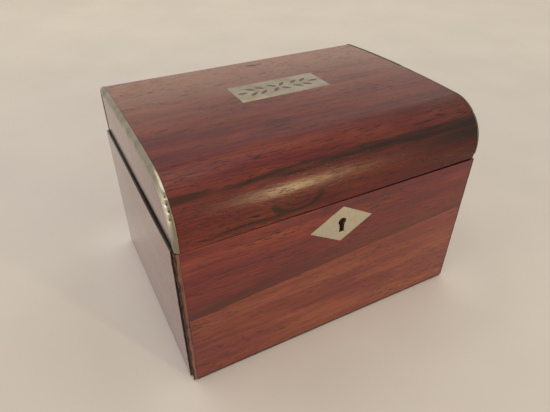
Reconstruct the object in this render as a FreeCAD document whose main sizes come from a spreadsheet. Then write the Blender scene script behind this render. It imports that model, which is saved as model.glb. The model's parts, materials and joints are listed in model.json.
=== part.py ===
import FreeCAD, Part
import Sketcher
import math
import operator
import os
import types

# Veneered tea caddy: a box with two lined compartments under loose inner lids, and a lid rounded over
# at the front, hung on two butt hinges and held by a sliding-bolt box lock.
# Frame: origin under the middle of the base, +X to the right, +Y to the back, +Z up, millimetres.

SIZES = [
    ("body_width", 200.0, "outside width of the body"),
    ("body_depth", 151.0, "outside depth of the body"),
    ("body_height", 103.0, "height of the rim above the table"),
    ("lid_gap", 0.5, "open joint between the rim and the lid"),
    ("lid_setback_left", 1.6, "shrinkage of the lid at its left end"),
    ("lid_overhang_right", 0.6, "lid's right end beyond the body's face"),
    ("lid_front_flat", 7.9, "upright part of the lid's front, below the rounding"),
    ("lid_front_radius", 27.0, "rounding of the lid's front"),
    ("lid_rear_radius", 10.0, "rounding of the lid's rear edge"),
    ("lid_crown_radius", 1100.0, "slight crown of the lid's top"),
    ("lid_crown_apex", 62.0, "highest line of the crown behind the front face"),
    ("lid_rear_cove", 1.5, "rounding inside the lid where the top meets the rear"),
    ("veneer", 1.2, "sawn veneer thickness"),
    ("board", 9.0, "carcass board thickness"),
    ("lid_board", 8.0, "lid board thickness"),
    ("base_board", 8.0, "base board thickness"),
    ("facing", 1.0, "dark facing on the rims of body and lid"),
    ("baize", 0.8, "baize thickness under the base"),
    ("baize_inset", 3.0, "baize edge inside the body's faces"),
    ("string_width", 3.4, "left corner string's width on the front"),
    ("string_depth", 1.6, "corner strings' depth on the ends"),
    ("string_round", 0.5, "rounding of the strings' outer edge"),
    ("string_groove", 2.6, "open groove between left string and end veneer"),
    ("string_lift", 0.8, "string's lower end above the veneer's foot"),
    ("seam_drop_left", 50.0, "front veneer joint below the rim at the left face"),
    ("seam_drop_right", 36.0, "front veneer joint below the rim at the right face"),
    ("edging_top", 3.5, "metal edging's width on the lid's outline"),
    ("edging_side", 4.4, "metal edging's width on the lid's ends"),
    ("edging_proud", 0.3, "metal edging's height above the veneer"),
    ("edging_round", 3.2, "rounding of the metal edging's corner"),
    ("edging_lost", 3.8, "missing foot of the right edging at the front"),
    ("plate_width", 62.5, "inlaid plate along X"),
    ("plate_depth", 25.7, "inlaid plate along Y"),
    ("plate_shift", 2.1, "plate's middle to the right of the lid's middle"),
    ("plate_behind_front", 85.0, "plate's middle behind the front face"),
    ("inlay_fit", 0.05, "clearance round inlaid metal"),
    ("engraving_depth", 0.3, "depth of the filled engraving"),
    ("leaf_length", 7.4, "engraved leaf, tip to tip"),
    ("leaf_width", 2.7, "engraved leaf across"),
    ("rosette_reach", 4.9, "rosette leaf's middle from the plate's middle"),
    ("sprig_start", 12.4, "first pair of sprig leaves from the plate's middle"),
    ("sprig_pitch", 6.6, "from pair to pair along a sprig"),
    ("sprig_rise", 3.7, "sprig leaf's middle above or below the plate's middle line"),
    ("sprig_angle", 38.0, "sprig leaf's lean from the plate's middle line, in degrees"),
    ("escutcheon_width", 43.0, "diamond keyhole plate along X"),
    ("escutcheon_height", 25.3, "diamond keyhole plate along Z"),
    ("escutcheon_drop", 1.8, "diamond's middle below the keyhole's head"),
    ("key_drop", 14.8, "keyhole's head below the rim"),
    ("keyhole_radius", 2.6, "keyhole's round head"),
    ("keyhole_slot", 3.3, "keyhole's slot width"),
    ("keyhole_foot", 7.6, "slot's end below the head's middle"),
    ("keyhole_room", 0.3, "keyhole in the wood and the lock case, wider all round"),
    ("lining", 3.0, "lining board thickness"),
    ("partition", 4.0, "partition thickness"),
    ("foil", 0.5, "foil lining thickness"),
    ("foil_drop", 2.0, "foil's edge below the ledge"),
    ("inner_lid", 5.0, "inner lid thickness"),
    ("inner_lid_drop", 4.0, "inner lid's top below the rim"),
    ("inner_lid_gap", 0.4, "gap round each inner lid"),
    ("inner_lid_chamfer", 1.0, "chamfer round the inner lid's top"),
    ("knob_base_height", 1.2, "turned knob's foot, height"),
    ("knob_base_flat", 0.6, "flat ring round the knob's cove"),
    ("knob_cove", 2.0, "cove between the knob's foot and neck"),
    ("knob_neck_radius", 2.6, "turned knob's neck"),
    ("knob_neck_length", 0.4, "turned knob's neck, height"),
    ("knob_ball_radius", 4.6, "turned knob's head"),
    ("knob_spigot_radius", 2.0, "knob's spigot through the inner lid"),
    ("spigot_fit", 0.05, "clearance round the spigot"),
    ("lid_paper", 0.8, "paper lining under the lid's top"),
    ("lid_paper_margin", 2.0, "bare edge round the paper lining"),
    ("hinge_length", 30.0, "butt hinge along X"),
    ("hinge_inset", 40.0, "hinge's middle inside the body's end face"),
    ("hinge_setback", 3.0, "hinge axis inside the rear face"),
    ("hinge_leaf", 1.2, "hinge leaf thickness"),
    ("hinge_margin", 1.0, "leaf's edge short of the boards' inner face"),
    ("knuckle_radius", 2.0, "hinge knuckle"),
    ("knuckle_room", 0.4, "free space round the knuckles"),
    ("knuckle_gap", 0.3, "gap between knuckles along the pin"),
    ("pin_radius", 0.9, "hinge pin"),
    ("pin_fit", 0.04, "running clearance round the hinge pin"),
    ("opening_angle", 100.0, "lid's opening, where the rear bevels meet, in degrees"),
    ("bevel_spare", 2.0, "play left between the rear bevels at full opening, in degrees"),
    ("let_in", 0.1, "clearance round metal let into wood"),
    ("screw_head_radius", 1.7, "countersunk screw's head"),
    ("screw_head_depth", 0.9, "countersunk screw's head, depth"),
    ("screw_radius", 0.8, "screw's shank"),
    ("screw_length", 6.5, "screw's whole length"),
    ("screw_slot", 0.4, "slot in the screw's head, width and depth"),
    ("screw_fit", 0.05, "clearance round each screw"),
    ("lock_width", 46.0, "lock plate and selvedge along X"),
    ("lock_height", 26.0, "lock plate's foot below the rim"),
    ("lock_plate", 1.2, "lock plate thickness"),
    ("selvedge", 1.6, "selvedge thickness on the rim"),
    ("selvedge_depth", 7.0, "selvedge along Y"),
    ("case_width", 38.0, "lock case along X"),
    ("case_height", 21.5, "lock case along Z"),
    ("case_depth", 5.2, "lock case along Y"),
    ("case_wall", 0.8, "lock case wall"),
    ("drill_pin_radius", 1.1, "pin that the key turns on"),
    ("drill_pin_length", 5.0, "drill pin's length in front of the lock plate"),
    ("lock_screw_inset", 2.2, "lock screws inside the plate's edges"),
    ("staple_spread", 8.0, "each staple from the lock's middle"),
    ("staple_thickness", 1.6, "staple along X"),
    ("staple_depth", 3.0, "staple along Y"),
    ("staple_drop", 7.6, "staple below the lid"),
    ("staple_foot", 1.3, "staple's metal below its eye"),
    ("staple_room", 0.7, "free space round each staple in the selvedge"),
    ("link_width", 36.0, "link plate along X"),
    ("link_depth", 4.6, "link plate along Y"),
    ("link_plate", 1.4, "link plate thickness"),
    ("link_screw_inset", 4.0, "link screws inside the plate's ends"),
    ("finger_height", 2.0, "bolt finger along Z"),
    ("finger_depth", 1.2, "bolt finger along Y"),
    ("finger_room", 0.35, "free space round the finger in the staple's eye"),
    ("finger_start", 0.5, "finger's tip short of the staple at rest"),
    ("bolt_travel", 4.5, "bolt's throw to the right"),
    ("bolt_height", 2.8, "bolt bar along Z"),
    ("bolt_depth", 2.4, "bolt bar along Y"),
    ("bolt_post", 3.0, "upright behind each finger along X"),
    ("bolt_tail", 7.8, "bar's end beyond the right post"),
    ("bolt_room", 0.5, "free space between the bar and the staples"),
    ("talon_width", 3.0, "notch for the key in the bar"),
    ("talon_depth", 1.2, "notch's depth"),
    ("spring_radius", 9.0, "bolt spring's outer bend"),
    ("spring_leaf", 0.4, "bolt spring's thickness"),
]

doc = FreeCAD.newDocument("tea_caddy")
sheet = doc.addObject("Spreadsheet::Sheet", "sizes")
pieces = []

OPERATIONS = {"+": operator.add, "-": operator.sub, "*": operator.mul, "/": operator.truediv}
DIRECTIONS = {"x": FreeCAD.Vector(1, 0, 0), "y": FreeCAD.Vector(0, 1, 0), "z": FreeCAD.Vector(0, 0, 1)}

# Turns about X that point a screw's head, and how far cutters run past the faces that they open.
HEAD_UP = 0.0
HEAD_DOWN = 180.0
HEAD_TO_BACK = -90.0
OVERCUT = 1.0


class Size:
    """A number together with the sheet formula that gives it, so that sums of sizes can be bound."""

    def __init__(self, number, formula):
        self.number = number
        self.formula = formula

    def __add__(self, other):
        return combine(self, "+", other)

    def __radd__(self, other):
        return combine(other, "+", self)

    def __sub__(self, other):
        return combine(self, "-", other)

    def __rsub__(self, other):
        return combine(other, "-", self)

    def __mul__(self, other):
        return combine(self, "*", other)

    def __rmul__(self, other):
        return combine(other, "*", self)

    def __truediv__(self, other):
        return combine(self, "/", other)

    def __neg__(self):
        return combine(0, "-", self)


def as_size(value):
    return value if isinstance(value, Size) else Size(value, repr(value))


ZERO = as_size(0)


def combine(left, sign, right):
    left = as_size(left)
    right = as_size(right)
    number = OPERATIONS[sign](left.number, right.number)
    return Size(number, f"({left.formula} {sign} {right.formula})")


def root(value):
    return Size(math.sqrt(value.number), f"sqrt({value.formula})")


def fill_sheet():
    """Write the driving sizes into the sheet and give them back by name."""
    named = {}
    for row, (alias, number, meaning) in enumerate(SIZES, start=1):
        sheet.set(f"A{row}", meaning)
        sheet.set(f"B{row}", str(number))
        sheet.setAlias(f"B{row}", alias)
        named[alias] = Size(number, f"sizes.{alias}")
    doc.recompute()
    return types.SimpleNamespace(**named)


s = fill_sheet()

# Faces of the body, from outside to inside.
left_face = -s.body_width / 2
right_face = s.body_width / 2
front_face = -s.body_depth / 2
back_face = s.body_depth / 2
carcass_left = left_face + s.veneer
carcass_right = right_face - s.veneer
carcass_front = front_face + s.veneer
carcass_back = back_face - s.veneer
string_back = front_face + s.string_depth
inner_left = carcass_left + s.board
inner_right = carcass_right - s.board
inner_front = carcass_front + s.board
inner_back = carcass_back - s.board
lined_left = inner_left + s.lining
lined_right = inner_right - s.lining
lined_front = inner_front + s.lining
lined_back = inner_back - s.lining

# Levels of the body.
foot = s.baize
base_top = foot + s.base_board
rim = s.body_height
board_top = rim - s.facing
inner_lid_top = rim - s.inner_lid_drop
ledge = inner_lid_top - s.inner_lid
key_level = rim - s.key_drop

# Faces and levels of the lid.
lid_left = left_face + s.lid_setback_left
lid_right = right_face + s.lid_overhang_right
lid_middle = (lid_left + lid_right) / 2
lid_bottom = rim + s.lid_gap
lid_board_bottom = lid_bottom + s.facing
lid_shoulder = lid_bottom + s.lid_front_flat
lid_inner_front = carcass_front + s.lid_board
lid_inner_back = carcass_back - s.lid_board
rounding_end = front_face + s.lid_front_radius
rear_rounding = back_face - s.lid_rear_radius
crown_line = front_face + s.lid_crown_apex

# Hinge axis and lock.
hinge_y = back_face - s.hinge_setback
hinge_z = rim + s.lid_gap / 2
bevel = (s.opening_angle + s.bevel_spare) / 2
lock_front = inner_front - s.lock_plate
case_front = lock_front - s.case_depth
case_top = rim - s.selvedge
lock_middle = (case_front + s.case_wall + lock_front) / 2
staple_end = lid_bottom - s.staple_drop
finger_bottom = staple_end + s.staple_foot + s.finger_room
bar_top = staple_end - s.bolt_room


def bind(item, prop, value):
    item.setExpression(prop, as_size(value).formula)


def keep(label, item):
    """Name a finished piece; its label names its file."""
    item.Label = label
    pieces.append(item)
    return item


def about(middle, width):
    return (middle - width / 2, middle + width / 2)


def centred(width):
    return about(ZERO, width)


def grown(span, room):
    return (span[0] - room, span[1] + room)


def box(x, y, z):
    """Block between low and high faces along each axis."""
    made = doc.addObject("Part::Box", "block")
    for side, axis, (low, high) in zip(("Length", "Width", "Height"), "xyz", (x, y, z)):
        bind(made, side, high - low)
        bind(made, f"Placement.Base.{axis}", low)
    return made


def rod(along, radius, start, length):
    """Cylinder from a start point along +X, +Y or +Z."""
    made = doc.addObject("Part::Cylinder", "rod")
    bind(made, "Radius", radius)
    bind(made, "Height", length)
    made.Placement.Rotation = FreeCAD.Rotation(DIRECTIONS["z"], DIRECTIONS[along])
    for axis, value in zip("xyz", start):
        bind(made, f"Placement.Base.{axis}", value)
    return made


def fuse(*items):
    if len(items) == 1:
        return items[0]
    made = doc.addObject("Part::MultiFuse", "joined")
    made.Shapes = list(items)
    return made


def cut(base, *tools):
    made = doc.addObject("Part::Cut", "cut")
    made.Base = base
    made.Tool = fuse(*tools)
    return made


def common(first, second):
    made = doc.addObject("Part::Common", "overlap")
    made.Base = first
    made.Tool = second
    return made


def group(*items):
    made = doc.addObject("Part::Compound", "group")
    made.Links = list(items)
    return made


def turned(item, axis, angle):
    """Turn an item about an axis through its own origin."""
    item.Placement.Rotation = FreeCAD.Rotation(DIRECTIONS[axis], as_size(angle).number)
    bind(item, "Placement.Rotation.Angle", angle)
    return item


def placed(item, at, angle=0.0, about_axis="x"):
    """A copy of an item that was made at the origin, turned and then moved."""
    made = turned(group(item), about_axis, angle)
    for axis, value in zip("xyz", at):
        bind(made, f"Placement.Base.{axis}", value)
    return made


def add_sketch(body, role, offset):
    """Sketch on one of the body's own origin planes, moved along its normal."""
    sketch = body.newObject("Sketcher::SketchObject", "outline")
    plane = next(item for item in body.Origin.OriginFeatures if item.Role == role)
    sketch.AttachmentSupport = [(plane, "")]
    sketch.MapMode = "FlatFace"
    bind(sketch, "AttachmentOffset.Base.z", offset)
    return sketch


def constrain(sketch, value, kind, *where):
    index = sketch.addConstraint(Sketcher.Constraint(kind, *where, as_size(value).number))
    bind(sketch, f"Constraints[{index}]", value)


def pin_point(sketch, geometry, position, point):
    constrain(sketch, point[0], "DistanceX", -1, 1, geometry, position)
    constrain(sketch, point[1], "DistanceY", -1, 1, geometry, position)


def flat_point(u, v):
    return FreeCAD.Vector(as_size(u).number, as_size(v).number, 0)


def draw_line(sketch, start, end):
    return sketch.addGeometry(Part.LineSegment(flat_point(*start), flat_point(*end)))


def draw_arc(sketch, centre, radius, start, end):
    circle = Part.Circle(flat_point(*centre), DIRECTIONS["z"], radius.number)
    return sketch.addGeometry(Part.ArcOfCircle(circle, start, end))


def pad(body, sketch, length):
    made = body.newObject("PartDesign::Pad", "pad")
    made.Profile = sketch
    bind(made, "Length", length)
    return made


def polygon_pad(role, offset, points, length):
    """Straight-sided outline on an origin plane, padded along the plane's normal."""
    body = doc.addObject("PartDesign::Body", "sheet")
    sketch = add_sketch(body, role, offset)
    for start, end in zip(points, points[1:] + points[:1]):
        draw_line(sketch, start, end)
    for index in range(len(points)):
        sketch.addConstraint(Sketcher.Constraint("Coincident", index, 2, (index + 1) % len(points), 1))
    for index, point in enumerate(points):
        pin_point(sketch, index, 1, point)
    pad(body, sketch, length)
    return body


def dress_edges(body, kind, amount_name, amount, wanted):
    """Round or chamfer the edges of a body's last feature whose bounding box passes a test."""
    doc.recompute()
    base = body.Tip
    numbered = enumerate(base.Shape.Edges, start=1)
    names = [f"Edge{number}" for number, edge in numbered if wanted(edge.BoundBox)]
    made = body.newObject(kind, "dressed")
    made.Base = (base, names)
    bind(made, amount_name, amount)
    return body


def near(value, size):
    return abs(value - as_size(size).number) < 0.001


def lid_prism(inset, x, bottom, rear_radius):
    """The lid's end outline drawn in by an inset, as a solid between two places along X.

    The outline is an upright front, a large front rounding, a slight crown, a rear rounding and an
    upright rear, each tangent to the next.
    """
    body = doc.addObject("PartDesign::Body", "lid_outline")
    sketch = add_sketch(body, "YZ_Plane", x[0])
    front = front_face + inset
    back = back_face - inset
    front_radius = s.lid_front_radius - inset
    crown_radius = s.lid_crown_radius - inset
    rear_radius = as_size(rear_radius)

    crown_reach = (s.lid_crown_radius - s.lid_front_radius).number
    crown_z = lid_shoulder.number - math.sqrt(crown_reach**2 - (crown_line - rounding_end).number ** 2)
    rear_y = (back - rear_radius).number
    rear_reach = (crown_radius - rear_radius).number
    rear_z = crown_z + math.sqrt(rear_reach**2 - (rear_y - crown_line.number) ** 2)
    front_angle = math.atan2(lid_shoulder.number - crown_z, (rounding_end - crown_line).number)
    rear_angle = math.atan2(rear_z - crown_z, rear_y - crown_line.number)

    floor_line = draw_line(sketch, (back, bottom), (front, bottom))
    front_line = draw_line(sketch, (front, bottom), (front, lid_shoulder))
    front_arc = draw_arc(sketch, (rounding_end, lid_shoulder), front_radius, front_angle, math.pi)
    crown_arc = draw_arc(sketch, (crown_line, crown_z), crown_radius, rear_angle, front_angle)
    rear_arc = draw_arc(sketch, (rear_y, rear_z), rear_radius, 0, rear_angle)
    rear_line = draw_line(sketch, (back, rear_z), (back, bottom))

    for joint in (
        (front_line, 2, front_arc, 2),
        (front_arc, 1, crown_arc, 2),
        (crown_arc, 1, rear_arc, 2),
        (rear_arc, 1, rear_line, 1),
    ):
        sketch.addConstraint(Sketcher.Constraint("Tangent", *joint))
    sketch.addConstraint(Sketcher.Constraint("Coincident", rear_line, 2, floor_line, 1))
    sketch.addConstraint(Sketcher.Constraint("Coincident", floor_line, 2, front_line, 1))
    sketch.addConstraint(Sketcher.Constraint("Horizontal", floor_line))
    sketch.addConstraint(Sketcher.Constraint("Vertical", front_line))
    sketch.addConstraint(Sketcher.Constraint("Vertical", rear_line))
    pin_point(sketch, front_line, 1, (front, bottom))
    constrain(sketch, back, "DistanceX", -1, 1, rear_line, 2)
    constrain(sketch, lid_shoulder, "DistanceY", -1, 1, front_arc, 3)
    constrain(sketch, crown_line, "DistanceX", -1, 1, crown_arc, 3)
    constrain(sketch, front_radius, "Radius", front_arc)
    constrain(sketch, crown_radius, "Radius", crown_arc)
    constrain(sketch, rear_radius, "Radius", rear_arc)
    pad(body, sketch, x[1] - x[0])
    return body


def lid_outer(inset, x, bottom=lid_bottom):
    """Lid outline parallel to the outside."""
    return lid_prism(inset, x, bottom, s.lid_rear_radius - inset)


def lid_hollow(inset, x):
    """Outline of the space inside the lid."""
    return lid_prism(inset, x, lid_board_bottom, s.lid_rear_cove)


def screw_tool(room):
    """Countersunk screw standing head up, its head's face at the origin, with room all round."""
    head = doc.addObject("Part::Cone", "screw_head")
    bind(head, "Radius1", s.screw_radius + room)
    bind(head, "Radius2", s.screw_head_radius + room)
    bind(head, "Height", s.screw_head_depth)
    bind(head, "Placement.Base.z", -s.screw_head_depth)
    shank = rod("z", s.screw_radius + room, (0, 0, -s.screw_length - room), s.screw_length + room)
    return fuse(head, shank)


def screw_solid():
    slot_x = grown(centred(2 * s.screw_head_radius), OVERCUT)
    slot = box(slot_x, centred(s.screw_slot), (-s.screw_slot, ZERO + OVERCUT))
    return cut(screw_tool(0), slot)


def keyhole(room, y):
    """Keyhole through a span of depth: a round head over a slot."""
    head = rod("y", s.keyhole_radius + room, (0, y[0], key_level), y[1] - y[0])
    slot_x = centred(s.keyhole_slot + 2 * room)
    slot = box(slot_x, y, (key_level - s.keyhole_foot - room, key_level))
    return fuse(head, slot)


def string_blank():
    """Corner at the front's left edge that its string fills."""
    return box((left_face, left_face + s.string_width), (front_face, string_back), (foot, rim))


# Wedges that the rear edges of body and lid are bevelled by, and the hinge recesses.

def bevel_wedge(angle):
    """Block with one long edge on the hinge axis, turned about it."""
    reach = s.body_depth
    x = grown((left_face, right_face), OVERCUT)
    made = box(x, (hinge_y, hinge_y + reach), (hinge_z, hinge_z + reach))
    return turned(made, "x", angle)


body_bevel = bevel_wedge(-bevel)
lid_bevel = bevel_wedge(bevel - 90)
hinge_middles = {"left": left_face + s.hinge_inset, "right": right_face - s.hinge_inset}
leaf_y = (inner_back + s.hinge_margin, hinge_y)
screw_y = (leaf_y[0] + hinge_y - s.knuckle_radius) / 2
screw_offsets = [-s.hinge_length / 3, s.hinge_length / 3]
hinge_screw_x = [middle + offset for middle in hinge_middles.values() for offset in screw_offsets]


def knuckle_recess(middle):
    length = s.hinge_length + 2 * s.knuckle_room
    return rod("x", s.knuckle_radius + s.knuckle_room, (middle - length / 2, hinge_y, hinge_z), length)


def leaf_recess(middle, z):
    return box(grown(about(middle, s.hinge_length), s.let_in), grown(leaf_y, s.let_in), z)


body_leaf_z = grown((rim - s.hinge_leaf, rim), s.let_in)
lid_leaf_z = grown((lid_bottom, lid_bottom + s.hinge_leaf), s.let_in)
knuckle_recesses = [knuckle_recess(middle) for middle in hinge_middles.values()]
body_leaf_recesses = [leaf_recess(middle, body_leaf_z) for middle in hinge_middles.values()]
lid_leaf_recesses = [leaf_recess(middle, lid_leaf_z) for middle in hinge_middles.values()]

# Places of all screws, as solids and as the holes they need.
lock_screw_x = centred(s.lock_width - 2 * s.lock_screw_inset)
link_screw_x = centred(s.link_width - 2 * s.link_screw_inset)
lock_screw_z = rim - s.lock_height + s.lock_screw_inset
selvedge_screws = [((x, lock_middle, rim), HEAD_UP) for x in lock_screw_x]
plate_screws = [((x, inner_front, lock_screw_z), HEAD_TO_BACK) for x in lock_screw_x]
screw_places = {
    "body_hinge_screws": [((x, screw_y, rim), HEAD_UP) for x in hinge_screw_x],
    "lid_hinge_screws": [((x, screw_y, lid_bottom), HEAD_DOWN) for x in hinge_screw_x],
    "lock_screws": selvedge_screws + plate_screws,
    "link_plate_screws": [((x, lock_middle, lid_bottom), HEAD_DOWN) for x in link_screw_x],
}
screw = screw_solid()
screw_hole = screw_tool(s.screw_fit)
screw_holes = {}
for name, places in screw_places.items():
    keep(name, group(*[placed(screw, at, angle) for at, angle in places]))
    screw_holes[name] = [placed(screw_hole, at, angle) for at, angle in places]

# Spaces that the lock needs in the front board and the rim, and its link plate in the lid.
lock_x = centred(s.lock_width)
case_x = centred(s.case_width)
selvedge_y = (inner_front - s.selvedge_depth, inner_front)
case_z = (case_top - s.case_height, case_top)
plate_z = (rim - s.lock_height, case_top)
staple_y = about(lock_middle, s.staple_depth)
staple_middles = [-s.staple_spread, s.staple_spread]
link_x = centred(s.link_width)
link_y = about(lock_middle, s.link_depth)
link_z = (lid_bottom, lid_bottom + s.link_plate)
let_in_lock_x = grown(lock_x, s.let_in)
selvedge_space = box(let_in_lock_x, grown(selvedge_y, s.let_in), (case_top - s.let_in, rim + OVERCUT))
plate_space = box(let_in_lock_x, (lock_front - s.let_in, inner_front + OVERCUT), grown(plate_z, s.let_in))
case_space = box(grown(case_x, s.let_in), (case_front - s.let_in, lock_front), grown(case_z, s.let_in))
link_space = box(grown(link_x, s.let_in), grown(link_y, s.let_in), grown(link_z, s.let_in))


def carcass():
    full_x = (carcass_left, carcass_right)
    wall_z = (base_top, board_top)
    base = box(full_x, (carcass_front, carcass_back), (foot, base_top))
    keep("base_board", cut(base, string_blank()))
    front = box(full_x, (carcass_front, inner_front), wall_z)
    board_keyhole = keyhole(s.keyhole_room, (carcass_front - OVERCUT, inner_front))
    mortises = [selvedge_space, plate_space, case_space]
    keep("front_board", cut(front, string_blank(), *mortises, board_keyhole, *screw_holes["lock_screws"]))
    rear = box(full_x, (inner_back, carcass_back), wall_z)
    recesses = body_leaf_recesses + knuckle_recesses
    keep("rear_board", cut(rear, body_bevel, *recesses, *screw_holes["body_hinge_screws"]))
    keep("left_end_board", box((carcass_left, inner_left), (inner_front, inner_back), wall_z))
    keep("right_end_board", box((inner_right, carcass_right), (inner_front, inner_back), wall_z))


def baize():
    x = grown((left_face, right_face), -s.baize_inset)
    y = grown((front_face, back_face), -s.baize_inset)
    keep("base_baize", box(x, y, (ZERO, foot)))


def body_veneers():
    left = left_face + s.string_width
    right = carcass_right
    slope = (s.seam_drop_left - s.seam_drop_right) / s.body_width
    seam_left = rim - s.seam_drop_left + slope * s.string_width
    seam_right = rim - s.seam_drop_right - slope * s.veneer
    outlines = {
        "front_veneer_upper": [(left, seam_left), (right, seam_right), (right, rim), (left, rim)],
        "front_veneer_lower": [(left, foot), (right, foot), (right, seam_right), (left, seam_left)],
    }
    opening = diamond(s.inlay_fit, s.veneer)
    for label, points in outlines.items():
        keep(label, cut(polygon_pad("XZ_Plane", -carcass_front, points, s.veneer), opening))
    left_y = (string_back + s.string_groove, back_face)
    right_y = (string_back, back_face)
    keep("left_end_veneer", cut(box((left_face, carcass_left), left_y, (foot, rim)), body_bevel))
    keep("right_end_veneer", cut(box((carcass_right, right_face), right_y, (foot, rim)), body_bevel))
    rear = box((carcass_left, carcass_right), (carcass_back, back_face), (foot, rim))
    keep("rear_veneer", cut(rear, body_bevel))


def corner_strings():
    spans = {
        "front_left_corner_string": (left_face, left_face + s.string_width),
        "front_right_corner_string": (carcass_right, right_face),
    }
    bottom = foot + s.string_lift
    for label, (low, high) in spans.items():
        points = [(low, front_face), (high, front_face), (high, string_back), (low, string_back)]
        body = polygon_pad("XY_Plane", bottom, points, rim - bottom)
        outer = low if label.startswith("front_left") else high

        def is_outer(found, x=outer):
            return near(found.XMin, x) and near(found.XMax, x) and near(found.YMax, front_face)

        keep(label, dress_edges(body, "PartDesign::Fillet", "Radius", s.string_round, is_outer))


def diamond(room, thickness):
    """Diamond outline in the front veneer, from the carcass outward."""
    middle = key_level - s.escutcheon_drop
    half_width = s.escutcheon_width / 2 + room
    half_height = s.escutcheon_height / 2 + room
    points = [
        (-half_width, middle),
        (ZERO, middle - half_height),
        (half_width, middle),
        (ZERO, middle + half_height),
    ]
    return polygon_pad("XZ_Plane", -carcass_front, points, thickness)


def escutcheon():
    hole = keyhole(0, grown((front_face, carcass_front), OVERCUT))
    keep("escutcheon", cut(diamond(0, s.veneer), hole))


def rim_strips(left, right, inside, z):
    """Front, rear, left and right facing strips on the end grain and edges of a rim."""
    in_left, in_right, in_front, in_back = inside
    front = box((left, right), (carcass_front, in_front), z)
    rear = box((left, right), (in_back, carcass_back), z)
    left_strip = box((left, in_left), (in_front, in_back), z)
    right_strip = box((in_right, right), (in_front, in_back), z)
    return front, rear, left_strip, right_strip


def rim_facings():
    inside = (inner_left, inner_right, inner_front, inner_back)
    front, rear, left, right = rim_strips(carcass_left, carcass_right, inside, (board_top, rim))
    front = cut(front, string_blank(), selvedge_space)
    rear = cut(rear, body_bevel, *body_leaf_recesses, *knuckle_recesses)
    keep("body_rim_facing", group(front, rear, left, right))

    inside = (inner_left, inner_right, lid_inner_front, lid_inner_back)
    ends = (lid_left + s.veneer, lid_right - s.veneer)
    front, rear, left, right = rim_strips(*ends, inside, (lid_bottom, lid_board_bottom))
    front = cut(front, link_space)
    rear = cut(rear, lid_bevel, *lid_leaf_recesses, *knuckle_recesses)
    keep("lid_rim_facing", group(front, rear, left, right))


def interior():
    z = (base_top, ledge)
    keep("front_lining", box((inner_left, inner_right), (inner_front, lined_front), z))
    keep("rear_lining", box((inner_left, inner_right), (lined_back, inner_back), z))
    keep("left_lining", box((inner_left, lined_left), (lined_front, lined_back), z))
    keep("right_lining", box((lined_right, inner_right), (lined_front, lined_back), z))
    keep("partition", box(centred(s.partition), (lined_front, lined_back), z))
    compartments = {
        "left_foil_lining": (lined_left, -s.partition / 2),
        "right_foil_lining": (s.partition / 2, lined_right),
    }
    y = (lined_front, lined_back)
    for label, x in compartments.items():
        outside = box(x, y, (base_top, ledge - s.foil_drop))
        inside = box(grown(x, -s.foil), grown(y, -s.foil), (base_top + s.foil, ledge))
        keep(label, cut(outside, inside))


def knob_solid():
    """Turned knob on the Z axis: spigot, foot, cove, neck and round head, its foot standing at zero."""
    body = doc.addObject("PartDesign::Body", "knob")
    sketch = add_sketch(body, "XZ_Plane", 0)
    cove_foot = s.knob_neck_radius + s.knob_cove
    base_radius = cove_foot + s.knob_base_flat
    cove_top = s.knob_base_height + s.knob_cove
    throat_z = cove_top + s.knob_neck_length
    ball_to_throat = root(s.knob_ball_radius * s.knob_ball_radius - s.knob_neck_radius * s.knob_neck_radius)
    ball_z = throat_z + ball_to_throat
    top = ball_z + s.knob_ball_radius
    lower = [
        (ZERO, -s.inner_lid),
        (s.knob_spigot_radius, -s.inner_lid),
        (s.knob_spigot_radius, ZERO),
        (base_radius, ZERO),
        (base_radius, s.knob_base_height),
        (cove_foot, s.knob_base_height),
    ]
    for start, end in zip(lower, lower[1:]):
        draw_line(sketch, start, end)
    cove_arc = draw_arc(sketch, (cove_foot, cove_top), s.knob_cove, math.pi, 1.5 * math.pi)
    neck = (s.knob_neck_radius, cove_top)
    throat = (s.knob_neck_radius, throat_z)
    neck_line = draw_line(sketch, neck, throat)
    ball_start = -math.asin(ball_to_throat.number / s.knob_ball_radius.number)
    ball_arc = draw_arc(sketch, (ZERO, ball_z), s.knob_ball_radius, ball_start, math.pi / 2)
    spine = draw_line(sketch, (ZERO, top), lower[0])

    last_lower = len(lower) - 2
    for index in range(last_lower):
        sketch.addConstraint(Sketcher.Constraint("Coincident", index, 2, index + 1, 1))
    for joint in (
        (last_lower, 2, cove_arc, 2),
        (cove_arc, 1, neck_line, 1),
        (neck_line, 2, ball_arc, 1),
        (ball_arc, 2, spine, 1),
        (spine, 2, 0, 1),
    ):
        sketch.addConstraint(Sketcher.Constraint("Coincident", *joint))
    for index, point in enumerate(lower[:-1]):
        pin_point(sketch, index, 1, point)
    pin_point(sketch, last_lower, 2, lower[-1])
    pin_point(sketch, neck_line, 1, neck)
    pin_point(sketch, neck_line, 2, throat)
    pin_point(sketch, spine, 1, (ZERO, top))
    constrain(sketch, s.knob_cove, "Radius", cove_arc)
    constrain(sketch, s.knob_ball_radius, "Radius", ball_arc)
    revolution = body.newObject("PartDesign::Revolution", "revolution")
    revolution.Profile = sketch
    revolution.ReferenceAxis = (sketch, ["V_Axis"])
    revolution.Angle = 360.0
    return body


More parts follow.
